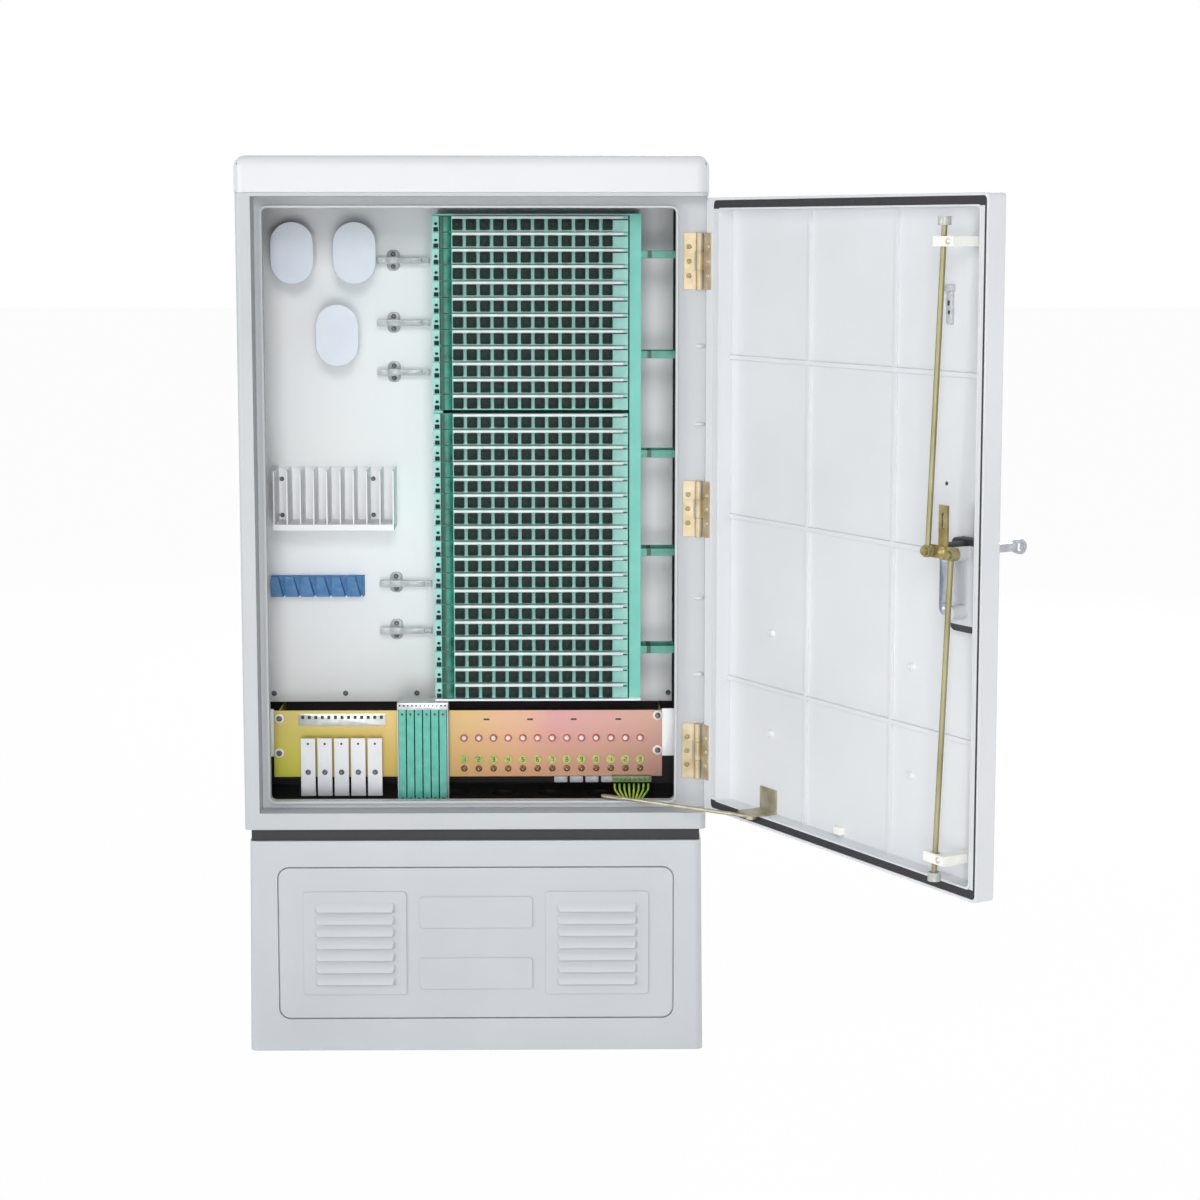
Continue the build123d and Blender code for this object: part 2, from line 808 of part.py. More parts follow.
def make_rod(stud_x, end_z):
    """Locking rod from its eye on a cam stud to the roller beyond the guide."""
    eye_centre = Vector(stud_x, rod_y, lock_height)
    tip = Vector(lock_x, rod_y, end_z)
    along = (tip - eye_centre).normalized()
    rod = pin_y(
        stud_x, lock_height, rod_y - rod_eye_thickness / 2, rod_y + rod_eye_thickness / 2, rod_eye_radius
    )
    rod += bar(tuple(eye_centre), tuple(tip), rod_radius)
    rod += bar(tuple(tip), tuple(tip + along * roller_length), roller_radius)
    rod -= pin_y(
        stud_x, lock_height, rod_y - rod_eye_radius, rod_y + rod_eye_radius, stud_radius + pin_clearance
    )
    return swung(rod)


def make_rod_guides():
    """Nylon guides: a leg on the door and an arm with an oblong hole round the rod."""
    guides = []
    arm_low_y = rod_y - rod_radius - guide_cover
    arm_high_y = rod_y + rod_radius + guide_cover
    slot_half = rod_radius + guide_play_across
    for end_z, inward, lean in ((upper_rod_top, -1, 1), (lower_rod_bottom, 1, -1)):
        z = end_z + inward * guide_end_distance
        low = z - guide_height / 2
        high = z + guide_height / 2
        left = lock_x - guide_back_reach
        guide = block(left, lock_x + guide_reach + guide_play_near, arm_low_y, arm_high_y, low, high)
        guide += block(left, left + guide_leg_width, skin_y, arm_low_y, low, high)
        ends = (lock_x - lean * guide_play_near, lock_x + lean * guide_play_far)
        guide -= block(
            min(ends), max(ends), rod_y - slot_half, rod_y + slot_half, low - cut_overrun, high + cut_overrun
        )
        guides.append(swung(guide))
    return Compound(children=guides)


stay_height = recess_bottom - stay_eye_thickness / 2
stay_pin_closed_y = hinge_y + stay_pin_inset
stay_pin_x, stay_pin_y = swung_point(hinge_x - stay_hinge_distance, stay_pin_closed_y)
stay_sill_x = hinge_x - stay_sill_distance
stay_sill_y = front_y + stay_sill_inset


def make_stay_rod():
    """Door stay: an eye on the bracket's pin, a round rod and a flattened, drilled end at the sill."""
    run = Vector(stay_sill_x - stay_pin_x, stay_sill_y - stay_pin_y, 0)
    along = run.normalized()
    start = Vector(stay_pin_x, stay_pin_y, stay_height)
    flat_start = start + run - along * stay_flat_length
    stay = pin_z(
        stay_pin_x, stay_pin_y, stay_height - stay_eye_thickness / 2, stay_height + stay_eye_thickness / 2,
        stay_eye_radius,
    )
    stay += bar(tuple(start), tuple(flat_start + along * stay_flat_width), stay_radius)
    middle = start + run - along * (stay_flat_length / 2)
    flat = Plane(
        (middle.X, middle.Y, stay_height - stay_flat_thickness / 2), x_dir=tuple(along), z_dir=(0, 0, 1)
    )
    outline = SlotOverall(stay_flat_length, stay_flat_width)
    hole = Pos(stay_flat_length / 2 - stay_flat_width / 2, 0) * Circle(stay_pin_radius)
    stay += extrude(flat * (outline - hole), stay_flat_thickness)
    return stay - pin_z(
        stay_pin_x, stay_pin_y, stay_height - stay_eye_radius, stay_height + stay_eye_radius,
        stay_pin_radius + pin_clearance,
    )


def make_stay_bracket():
    """Angle bracket on the door with a pin that hangs from its foot through the stay's eye."""
    x = hinge_x - stay_hinge_distance
    foot_low = stay_height + stay_eye_thickness / 2 + seat_gap
    foot_high = foot_low + bracket_thickness
    reach = stay_pin_closed_y + bracket_foot_margin
    bracket = block(
        x - bracket_width / 2, x + bracket_width / 2, skin_y, skin_y + bracket_thickness,
        foot_low, foot_low + bracket_height,
    )
    bracket += block(x - bracket_width / 2, x + bracket_width / 2, skin_y, reach, foot_low, foot_high)
    pin_low = stay_height - stay_eye_thickness / 2 - seat_gap
    bracket += pin_z(x, stay_pin_closed_y, pin_low, foot_high, stay_pin_radius)
    return swung(bracket)


def make_backboard():
    """White sheet behind the fittings, with folded sides that stand on the rear wall."""
    left = board_left_gap - inner_half_width
    right = inner_half_width - board_right_gap
    top = body_top - body_wall - board_top_gap
    board = block(left, right, board_y, board_y + board_thickness, board_bottom, top)
    board += block(left, left + board_thickness, board_y, rear_wall, board_bottom, top)
    return board + block(right - board_thickness, right, board_y, rear_wall, board_bottom, top)


def make_fibre_spools():
    """Oval spools: a waisted post on the backboard and a wide front flange."""
    spools = []
    for x_share, z_share in zip(spool_x_shares, spool_z_shares):
        x = x_share * inner_width
        z = floor_top + z_share * inner_height
        foot = Plane((x, board_y, z), x_dir=(1, 0, 0), z_dir=(0, -1, 0))
        spool = extrude(foot * SlotOverall(spool_post_height, spool_post_width, rotation=90), spool_reach)
        rim = foot.offset(spool_reach - spool_flange)
        spool += extrude(rim * SlotOverall(spool_height, spool_width, rotation=90), spool_flange)
        spools.append(spool)
    return Compound(children=spools)


def make_routing_clips():
    """Clips with an upright foot on the backboard and a crossbar held clear of it."""
    clips = []
    clip_bar_left = clip_bar_left_share * inner_width
    clip_bar_length = clip_bar_length_share * inner_width
    foot_x = clip_bar_left + clip_base_offset
    bar_front = board_y - clip_reach
    for z_share in clip_z_shares:
        z = floor_top + z_share * inner_height
        clip = block(
            foot_x - clip_base_width / 2, foot_x + clip_base_width / 2,
            board_y - clip_base_thickness, board_y,
            z - clip_base_height / 2, z + clip_base_height / 2,
        )
        clip += block(
            foot_x - clip_base_width / 2, foot_x + clip_base_width / 2, bar_front, board_y,
            z - clip_bar_height / 2, z + clip_bar_height / 2,
        )
        clip += block(
            clip_bar_left, clip_bar_left + clip_bar_length, bar_front, bar_front + clip_bar_depth,
            z - clip_bar_height / 2, z + clip_bar_height / 2,
        )
        clips.append(clip)
    return Compound(children=clips)


def make_splitter_rack():
    """Rack of upright fins on a shelf, for splitter modules pushed in from the front."""
    rack_left = rack_left_share * inner_width
    rack_bottom = floor_top + rack_bottom_share * inner_height
    rack_fin_pitch = rack_fin_pitch_share * inner_width
    right = rack_left + (rack_fin_count - 1) * rack_fin_pitch + rack_fin_thickness
    front = board_y - rack_reach
    rack = block(rack_left, right, board_y - rack_back, board_y, rack_bottom, rack_bottom + rack_height)
    rack += block(rack_left, right, front, board_y, rack_bottom, rack_bottom + rack_shelf)
    for fin in range(rack_fin_count):
        x = rack_left + fin * rack_fin_pitch
        rack += block(
            x, x + rack_fin_thickness, front + rack_fin_setback, board_y,
            rack_bottom, rack_bottom + rack_height,
        )
    return rack


def make_parking_strip():
    """Strip on the backboard with leaning noses; spare connectors park in the slots between them."""
    front = board_y - strip_depth
    strip_left = strip_left_share * inner_width
    strip_pitch = strip_pitch_share * inner_width
    strip_bottom = floor_top + strip_bottom_share * inner_height
    strip = block(
        strip_left, strip_left + strip_slots * strip_pitch, front, board_y,
        strip_bottom, strip_bottom + strip_height,
    )
    face = Plane((0, front + strip_slot_depth, 0), x_dir=(1, 0, 0), z_dir=(0, -1, 0))
    for slot in range(strip_slots):
        right = strip_left + (slot + 1) * strip_pitch - strip_end_wall
        outline = [
            (right - strip_slot_top_share * strip_pitch, strip_bottom + strip_height),
            (right, strip_bottom + strip_height),
            (right, strip_bottom),
            (right - strip_slot_foot_share * strip_pitch, strip_bottom),
        ]
        cut = face * Polygon(*outline, align=None)
        strip -= extrude(cut, strip_slot_depth + cut_overrun, dir=(0, -1, 0))
    return strip


tray_pitch = tray_pitch_share * inner_height
tray_height = tray_pitch - tray_gap
tray_top_row = body_top - body_wall - tray_top_inset
tray_pivot_x = tray_pivot_x_share * inner_width
tray_pivot_y = front_y + tray_pivot_y_share * body_depth
tray_swing_radius = tray_swing_share * inner_width
tray_back_reach = board_y - tray_board_gap - tray_pivot_y
adapter_first = adapter_first_share * tray_swing_radius
adapter_pitch = adapter_pitch_share * tray_swing_radius
adapter_width = adapter_width_share * adapter_pitch
adapter_height = adapter_height_share * tray_pitch
tray_front = tray_pivot_y - tray_front_reach
frame_left = tray_pivot_x - tray_eye_left
frame_right = tray_pivot_x + tray_swing_radius + column_right_gap + column_width


def tray_z(row):
    """Height of a tray's middle, counted from the top row down."""
    seam = tray_seam if row >= tray_upper_count else 0
    return tray_top_row - row * tray_pitch - seam


def tray_arc(radius, low_y, high_y):
    """Points on a circle about the tray's pivot, from one depth back to another."""
    first = math.asin(low_y / radius)
    last = math.asin(high_y / radius)
    turns = [first + (last - first) * step / tray_arc_steps for step in range(tray_arc_steps + 1)]
    return [(radius * math.cos(turn), radius * math.sin(turn)) for turn in turns]


def make_tray(row):
    """Open splice tray with a pivot eye at its front left, fibre drums and a row of adapters in front.

    The right side follows the swing circle about the pivot, so that the tray turns out past the column.
    """
    low = tray_z(row) - tray_height / 2
    outline = [(-tray_eye_left, -tray_front_reach)]
    outline += tray_arc(tray_swing_radius, -tray_front_reach, tray_back_reach)
    outline += [
        (tray_body_left, tray_back_reach),
        (tray_body_left, tray_front_reach),
        (-tray_eye_left, tray_front_reach),
    ]
    eye = RegularPolygon(tray_rod_radius + tray_eye_clearance, 8, major_radius=False)
    tray = extrude(Pos(tray_pivot_x, tray_pivot_y, low) * (Polygon(*outline, align=None) - eye), tray_height)
    floor = Pos(tray_pivot_x, tray_pivot_y, low + tray_floor)
    pan_left = tray_body_left + tray_wall
    pan_front = tray_front_reach + tray_wall
    pan_back = tray_back_reach - tray_wall
    pan = [(pan_left, pan_front)]
    pan += tray_arc(tray_swing_radius - tray_wall, pan_front, pan_back)
    pan += [(pan_left, pan_back)]
    tray -= extrude(floor * Polygon(*pan, align=None), tray_height)
    for share in tray_drum_x_shares:
        centre = Pos(share * tray_swing_radius, tray_drum_y_share * tray_back_reach)
        drum = centre * RegularPolygon(tray_drum_radius, tray_drum_sides)
        tray += extrude(floor * drum, tray_drum_height)
    adapter_low = tray_z(row) - adapter_height / 2
    for column in range(adapter_count):
        x = tray_pivot_x + adapter_first + column * adapter_pitch
        tray += block(
            x - adapter_width / 2, x + adapter_width / 2, tray_front - adapter_proud, tray_front,
            adapter_low, adapter_low + adapter_height,
        )
    return tray


def make_column(x0, x1, y0, z0, z1):
    """Upright channel, open towards the backboard that it stands on."""
    column = block(x0, x1, y0, board_y, z0, z1)
    return column - block(
        x0 + column_sheet, x1 - column_sheet, y0 + column_sheet, board_y + cut_overrun, z0 - cut_overrun,
        z1 + cut_overrun,
    )


frame_low = tray_z(tray_count - 1) - tray_height / 2 - tray_gap
frame_high = tray_z(0) + tray_height / 2 + tray_gap


def make_tray_frame():
    """Frame of the tray stack: two columns, top and bottom shelves, and the rod that every tray turns on."""
    column_front = tray_pivot_y + column_setback
    frame = make_column(frame_left, frame_left + left_column_width, column_front, frame_low, frame_high)
    frame += make_column(frame_right - column_width, frame_right, tray_front, frame_low, frame_high)
    shelf_front = tray_front - frame_shelf_proud
    frame += block(frame_left, frame_right, shelf_front, board_y, frame_low - frame_shelf, frame_low)
    frame += block(frame_left, frame_right, shelf_front, board_y, frame_high, frame_high + frame_shelf)
    seam_low = tray_z(tray_upper_count) + tray_height / 2 + tray_gap
    seam_high = tray_z(tray_upper_count - 1) - tray_height / 2 - tray_gap
    frame += block(
        frame_left, frame_left + left_column_width, tray_front, column_front + column_sheet,
        seam_low, seam_high,
    )
    return frame + pin_z(tray_pivot_x, tray_pivot_y, frame_low, frame_high, tray_rod_radius)


def make_routing_arms():
    """Open channels beside the trays that carry patch cords to the right."""
    arms = []
    arm_first = floor_top + arm_first_share * inner_height
    arm_pitch = arm_pitch_share * inner_height
    for row in range(arm_count):
        low = arm_first - row * arm_pitch - arm_height / 2
        high = low + arm_height
        arm = block(frame_right, frame_right + arm_length, tray_front, tray_front + arm_depth, low, high)
        arms.append(arm - block(
            frame_right + arm_wall, frame_right + arm_length + cut_overrun,
            tray_front + arm_wall, tray_front + arm_depth - arm_wall, low + arm_wall, high + cut_overrun,
        ))
    return Compound(children=arms)


cradle_left = cradle_left_share * inner_width
cradle_right = cradle_left + 2 * cradle_sheet + splice_count * splice_pitch
cradle_bottom = floor_top + cradle_lift
cradle_top = floor_top + cradle_top_share * inner_height
cradle_front = panel_front - cradle_depth


def make_earth_panel():
    """Plated sheet across the lower bay, folded back to the rear wall, with the splice bars' sleeve."""
    panel = block(panel_left, panel_right, panel_front, panel_back, panel_bottom, panel_top)
    flange_top = board_bottom - panel_flange_gap
    for x in (panel_left, panel_right - panel_sheet):
        panel += block(x, x + panel_sheet, panel_front, rear_wall, panel_bottom, flange_top)
    sleeve = block(cradle_left, cradle_right, cradle_front, panel_front, cradle_bottom, cradle_top)
    return panel + (sleeve - block(
        cradle_left + cradle_sheet, cradle_right - cradle_sheet, cradle_front - cut_overrun,
        panel_front + cut_overrun, cradle_bottom + cradle_sheet, cradle_top - cradle_sheet,
    ))


def make_splice_bars():
    """Upright splice bars side by side in their sleeve."""
    bars = []
    margin = (splice_pitch - splice_width) / 2
    for column in range(splice_count):
        x = cradle_left + cradle_sheet + margin + column * splice_pitch
        bars.append(block(
            x, x + splice_width, cradle_front - splice_proud, panel_front - seat_gap,
            cradle_bottom + cradle_sheet, cradle_top - cradle_sheet - splice_height_gap,
        ))
    return Compound(children=bars)


def make_cable_clamps():
    """Cable clamps: a plate on two posts in front of the earth panel, with its foot bent back."""
    clamps = []
    front = panel_front - clamp_standoff - clamp_sheet
    clamp_pitch = clamp_pitch_share * inner_width
    clamp_width = clamp_width_share * clamp_pitch
    clamp_bottom = floor_top + clamp_lift
    clamp_top = floor_top + clamp_top_share * inner_height
    for column in range(clamp_count):
        x = clamp_first_share * inner_width + column * clamp_pitch
        clamp = block(x, x + clamp_width, front, front + clamp_sheet, clamp_bottom, clamp_top)
        clamp += block(
            x, x + clamp_width, front, front + clamp_foot, clamp_bottom, clamp_bottom + clamp_sheet
        )
        for share in clamp_post_shares:
            z = clamp_bottom + share * (clamp_top - clamp_bottom)
            clamp += pin_y(x + clamp_width / 2, z, front + clamp_sheet, panel_front, clamp_post_radius)
        clamps.append(clamp)
    return Compound(children=clamps)


bar_left = bar_left_share * inner_width
bar_bottom = floor_top + bar_lift


def make_earth_bar():
    """Terminal bar for the earth wires, on the earth panel."""
    return block(
        bar_left, bar_left + bar_length, panel_front - bar_depth, panel_front,
        bar_bottom, bar_bottom + bar_height,
    )


def make_earth_wires():
    """Earth wires: out of the terminal bar, drawn together and down to the floor."""
    wires = []
    middle = bar_left + bar_length / 2
    y = panel_front - bar_depth / 2
    for column in range(wire_count):
        step = column - (wire_count - 1) / 2
        x = middle + step * wire_pitch
        bundle_x = middle + step * wire_bundle_pitch
        knee = bar_bottom - wire_drop
        route = [
            (x, y, bar_bottom),
            (x, y, knee),
            (bundle_x, y - wire_forward, (knee + floor_top) / 2),
            (bundle_x, y - wire_forward, floor_top),
        ]
        path = FilletPolyline(*route, radius=wire_bend)
        wires.append(sweep(Plane(route[0], z_dir=(0, 0, -1)) * Circle(wire_radius), path=path))
    return Compound(children=wires)


def make_gland_plate():
    """Dark plate over the cable entry in the floor, with a row of round entries."""
    gland = block(
        -entry_width / 2 - gland_margin, entry_width / 2 + gland_margin, entry_front - gland_margin,
        entry_back + gland_margin, floor_top, floor_top + gland_sheet,
    )
    for column in range(gland_count):
        x = (column - (gland_count - 1) / 2) * gland_pitch_share * entry_width
        gland -= pin_z(
            x, (entry_front + entry_back) / 2, floor_top - cut_overrun, floor_top + cut_overrun, gland_radius
        )
    return gland


pieces = {
    "plinth": make_plinth(),
    "plinth_cover": make_plinth_cover(),
    "plinth_band": make_plinth_band(),
    "body_shell": make_body_shell(),
    "roof_cap": make_roof_cap(),
    "door_panel": make_door_panel(),
    "door_seal": make_door_seal(),
    "hinge_frame_leaves": make_hinge_frame_leaves(),
    "hinge_door_leaves": make_hinge_door_leaves(),
    "lock_housing": make_lock_housing(),
    "lock_cam": make_lock_cam(),
    "lock_handle": make_lock_handle(),
    "upper_rod": make_rod(lock_x + cam_arm, upper_rod_top),
    "lower_rod": make_rod(lock_x - cam_arm, lower_rod_bottom),
    "rod_guides": make_rod_guides(),
    "stay_rod": make_stay_rod(),
    "stay_bracket": make_stay_bracket(),
    "backboard": make_backboard(),
    "fibre_spools": make_fibre_spools(),
    "routing_clips": make_routing_clips(),
    "splitter_rack": make_splitter_rack(),
    "parking_strip": make_parking_strip(),
    "tray_frame": make_tray_frame(),
    "routing_arms": make_routing_arms(),
    "earth_panel": make_earth_panel(),
    "splice_bars": make_splice_bars(),
    "cable_clamps": make_cable_clamps(),
    "earth_bar": make_earth_bar(),
    "earth_wires": make_earth_wires(),
    "gland_plate": make_gland_plate(),
}
for row in range(tray_count):
    pieces[f"tray_{row + 1:02d}"] = make_tray(row)

os.makedirs("parts", exist_ok=True)
for name, piece in pieces.items():
    export_step(piece, f"parts/{name}.step")
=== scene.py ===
# Street cabinet for cross-connecting optical fibre, its door standing open.
# Metres, +Z up, front towards -Y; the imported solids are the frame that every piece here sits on.
import math

import bpy
import numpy as np
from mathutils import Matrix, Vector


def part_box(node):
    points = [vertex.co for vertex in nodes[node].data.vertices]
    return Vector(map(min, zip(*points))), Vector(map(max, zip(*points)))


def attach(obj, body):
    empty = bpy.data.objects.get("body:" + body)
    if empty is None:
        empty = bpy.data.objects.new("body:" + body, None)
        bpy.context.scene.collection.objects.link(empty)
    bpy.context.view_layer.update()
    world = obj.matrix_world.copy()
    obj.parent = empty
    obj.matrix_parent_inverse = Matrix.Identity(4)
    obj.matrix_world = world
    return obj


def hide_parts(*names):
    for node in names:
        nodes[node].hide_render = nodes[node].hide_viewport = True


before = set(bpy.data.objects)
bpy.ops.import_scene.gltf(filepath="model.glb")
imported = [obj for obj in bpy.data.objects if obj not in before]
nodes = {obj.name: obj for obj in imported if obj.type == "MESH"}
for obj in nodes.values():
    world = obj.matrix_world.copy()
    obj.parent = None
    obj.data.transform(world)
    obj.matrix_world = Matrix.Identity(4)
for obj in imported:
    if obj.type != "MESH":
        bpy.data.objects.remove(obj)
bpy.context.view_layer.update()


# Plinth: the hollow foot of the cabinet, hot-pressed from glass-filled polyester in light grey.
# Its front cover is one pressing too, with hooded louvres and two blank fields in low relief.
def linear(red, green, blue):
    """Display colour in eight-bit steps as the linear colour that a shader socket takes."""
    tone = np.array([red, green, blue]) / 255.0
    lit = np.where(tone <= 0.04045, tone / 12.92, ((tone + 0.055) / 1.055) ** 2.4)
    return (*lit.tolist(), 1.0)


def plain_finish(name, colour, roughness, metallic=0.0):
    """A material of one Principled shader, with its constants on the shader's own sockets."""
    finish = bpy.data.materials.new(name)
    finish.use_nodes = True
    shader = finish.node_tree.nodes["Principled BSDF"]
    shader.inputs["Base Color"].default_value = colour
    shader.inputs["Roughness"].default_value = roughness
    shader.inputs["Metallic"].default_value = metallic
    return finish


def object_noise(tree, scale, detail=2.0):
    """Noise over the piece's own coordinates, so that the pattern moves with the piece."""
    where = tree.nodes.new("ShaderNodeTexCoord")
    noise = tree.nodes.new("ShaderNodeTexNoise")
    noise.inputs["Scale"].default_value = scale
    noise.inputs["Detail"].default_value = detail
    tree.links.new(where.outputs["Object"], noise.inputs["Vector"])
    return noise


def clouded(finish, dark, light, scale):
    """Base colour that drifts between two close tints with a broad noise; the roughness drifts with it."""
    tree = finish.node_tree
    noise = object_noise(tree, scale, 3.0)
    ramp = tree.nodes.new("ShaderNodeValToRGB")
    ramp.color_ramp.elements[0].position = 0.3
    ramp.color_ramp.elements[1].position = 0.7
    ramp.color_ramp.elements[0].color = dark
    ramp.color_ramp.elements[1].color = light
    tree.links.new(noise.outputs["Fac"], ramp.inputs["Fac"])
    shader = tree.nodes["Principled BSDF"]
    tree.links.new(ramp.outputs["Color"], shader.inputs["Base Color"])
    sheen_drift = tree.nodes.new("ShaderNodeMapRange")
    middle = shader.inputs["Roughness"].default_value
    sheen_drift.inputs["To Min"].default_value = 0.86 * middle
    sheen_drift.inputs["To Max"].default_value = 1.14 * middle
    tree.links.new(noise.outputs["Fac"], sheen_drift.inputs["Value"])
    tree.links.new(sheen_drift.outputs["Result"], shader.inputs["Roughness"])
    return ramp


def grained(finish, scale, depth, edge=0.0):
    """Fine mould grain as bump; with an edge radius the corners catch the light as rounded ones do."""
    tree = finish.node_tree
    bump = tree.nodes.new("ShaderNodeBump")
    bump.inputs["Strength"].default_value = 0.6
    bump.inputs["Distance"].default_value = depth
    tree.links.new(object_noise(tree, scale).outputs["Fac"], bump.inputs["Height"])
    if edge:
        rounded = tree.nodes.new("ShaderNodeBevel")
        rounded.samples = 4
        rounded.inputs["Radius"].default_value = edge
        tree.links.new(rounded.outputs["Normal"], bump.inputs["Normal"])
    tree.links.new(bump.outputs["Normal"], tree.nodes["Principled BSDF"].inputs["Normal"])
    return bump


def dress(finish, *names):
    """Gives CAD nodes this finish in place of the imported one."""
    for name in names:
        nodes[name].data.materials.clear()
        nodes[name].data.materials.append(finish)


plinth_grey = plain_finish("plinth_grey", linear(191, 195, 199), 0.42)
clouded(plinth_grey, linear(188, 192, 196), linear(195, 198, 202), 5.0)
grained(plinth_grey, 900.0, 0.00025, 0.0016)
dress(plinth_grey, "plinth", "plinth_cover")

# Band: a dark rubber-faced frame set back between plinth and body, bolted through to both,
# so that the case seems to float on a shadow line.
band_black = plain_finish("band_black", linear(38, 38, 42), 0.6)
clouded(band_black, linear(33, 33, 37), linear(44, 44, 48), 40.0)
grained(band_black, 1500.0, 0.0002, 0.0012)
dress(band_black, "plinth_band")

# Body: a hot-pressed case in pale grey with a rebate for the door and a raised lip round the opening; the
# body's grey is set darker than the roof's of the same compound, as painted shade.
# Inside, floor, walls and ceiling are coloured near black: painted shade for the deep, dim bay.
case_grey = plain_finish("case_grey", linear(215, 217, 219), 0.40)
clouded(case_grey, linear(212, 214, 216), linear(218, 220, 222), 4.0)
grained(case_grey, 850.0, 0.00025, 0.0018)

# Painted shade: the body is given a darker grey than the roof, which is of the same compound.
case_with_painted_shade = plain_finish("case_with_painted_shade", linear(192, 196, 198), 0.42)
painted_shade_body_ramp = clouded(case_with_painted_shade, linear(184, 188, 190), linear(191, 194, 196), 4.0)
grained(case_with_painted_shade, 850.0, 0.00025, 0.0018)


def within(tree, direction, low, high, origin=(0.0, 0.0, 0.0)):
    """Mask that is one where a point's distance from the origin along a direction lies between two limits."""
    where = tree.nodes.new("ShaderNodeTexCoord")
    along = tree.nodes.new("ShaderNodeVectorMath")
    along.operation = "DOT_PRODUCT"
    along.inputs[1].default_value = direction
    tree.links.new(where.outputs["Object"], along.inputs[0])
    inside = tree.nodes.new("ShaderNodeMath")
    inside.operation = "COMPARE"
    inside.inputs[1].default_value = float(np.dot(origin, direction)) + (low + high) / 2
    inside.inputs[2].default_value = (high - low) / 2
    tree.links.new(along.outputs["Value"], inside.inputs[0])
    return inside.outputs[0]


def both_of(tree, one, other):
    """Product of two masks."""
    product = tree.nodes.new("ShaderNodeMath")
    product.operation = "MULTIPLY"
    tree.links.new(one, product.inputs[0])
    tree.links.new(other, product.inputs[1])
    return product.outputs[0]


def tinted(tree, mask, base, tint):
    """Lays a second colour over the base colour where a mask is one."""
    cover = tree.nodes.new("ShaderNodeMix")
    cover.data_type = "RGBA"
    cover.inputs["B"].default_value = tint
    tree.links.new(mask, cover.inputs["Factor"])
    tree.links.new(base, cover.inputs["A"])
    tree.links.new(cover.outputs["Result"], tree.nodes["Principled BSDF"].inputs["Base Color"])


across, backward, upward = (1.0, 0.0, 0.0), (0.0, 1.0, 0.0), (0.0, 0.0, 1.0)
tree = case_with_painted_shade.node_tree
painted_shade_plan = both_of(tree, within(tree, across, -0.3675, 0.3675), within(tree, backward, -0.1115, 0.1545))
painted_shade_room = both_of(tree, painted_shade_plan, within(tree, upward, 0.3755, 1.3865))
# Painted shade: the inside of the case, where the bay lies in deep shade, is coloured near black.
tinted(tree, painted_shade_room, painted_shade_body_ramp.outputs["Color"], linear(34, 34, 36))
dress(case_with_painted_shade, "body_shell")

# Roof: a moulded cap of the same compound with rounded edges, dropped over the body's rim
# and screwed down from inside.
dress(case_grey, "roof_cap")

# Catches: four small nubs moulded on the hinge jamb, flattened domes that the door's return edge
# passes as it closes.
def mesh_piece(name, points, faces, finish, body, slot):
    """Object at the origin from arrays of points and faces, smooth-shaded by angle, riding on a body
    and given its finish; the slot argument is not used."""
    mesh = bpy.data.meshes.new(name)
    mesh.from_pydata(np.asarray(points, float).tolist(), [], np.asarray(faces).tolist())
    mesh.materials.append(finish)
    mesh.polygons.foreach_set("use_smooth", np.ones(len(mesh.polygons), bool))
    mesh.set_sharp_from_angle(angle=math.radians(35))
    piece = bpy.data.objects.new(name, mesh)
    bpy.context.scene.collection.objects.link(piece)
    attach(piece, body)
    return piece


to_front = (0, -1, 0)


def turned_to(points, normal, up=(0, 0, 1)):
    """Turns points drawn about +Z so that +Z runs along a normal and +Y lies nearest to up."""
    w = np.asarray(normal, float) / np.linalg.norm(normal)
    u = np.cross(up, w)
    u = u / np.linalg.norm(u)
    return points @ np.stack([u, np.cross(w, u), w])


def copies(points, faces, places):
    """One array of points and faces for a shape repeated at each place."""
    places = np.asarray(places, float)
    all_points = (places[:, None, :] + points[None]).reshape(-1, 3)
    shift = np.arange(len(places))[:, None, None] * len(points)
    return all_points, (np.asarray(faces)[None] + shift).reshape(-1, len(faces[0]))


def ring_faces(rings, around):
    """Faces between stacked rings of equal point count, each ring joined to the next."""
    i = np.arange(rings - 1)[:, None] * around
    j = np.arange(around)[None, :]
    after = (j + 1) % around
    return np.stack([i + j, i + after, i + around + after, i + around + j], axis=-1).reshape(-1, 4)


def round_grid(profile, around):
    """Points and faces of a turned shape: radius and height of each profile step, carried once round +Z."""
    turn = np.linspace(0, 2 * np.pi, around, endpoint=False)
    radius, height = np.asarray(profile, float).T
    points = np.stack([
        radius[:, None] * np.cos(turn), radius[:, None] * np.sin(turn), height[:, None] + 0 * turn
    ], axis=-1).reshape(-1, 3)
    return points, ring_faces(len(profile), around)


nub_profile = [(0.0085, 0.0), (0.0078, 0.0022), (0.0058, 0.0044), (0.0030, 0.0058), (0.0002, 0.0062)]
nub_points, nub_faces = round_grid(nub_profile, 20)
nub_points = turned_to(nub_points, to_front) * (1, 1, 0.45)
nub_x, nub_y = 0.3628, -0.118
nub_places = [(nub_x, nub_y, z) for z in (1.149, 1.024, 0.742, 0.617)]
mesh_piece("jamb_nubs", *copies(nub_points, nub_faces, nub_places), case_grey, "cabinet", "case_smc")

# Hinges: three leaf pairs of gilt zinc-plated steel on one pin line, each leaf held by three
# domed screws close to the knuckle.
hinge_zinc = plain_finish("hinge_zinc", linear(186, 170, 138), 0.46, 0.45)
clouded(hinge_zinc, linear(168, 151, 116), linear(200, 186, 158), 45.0)
grained(hinge_zinc, 700.0, 0.0002, 0.0008)
dress(hinge_zinc, "hinge_frame_leaves", "hinge_door_leaves")


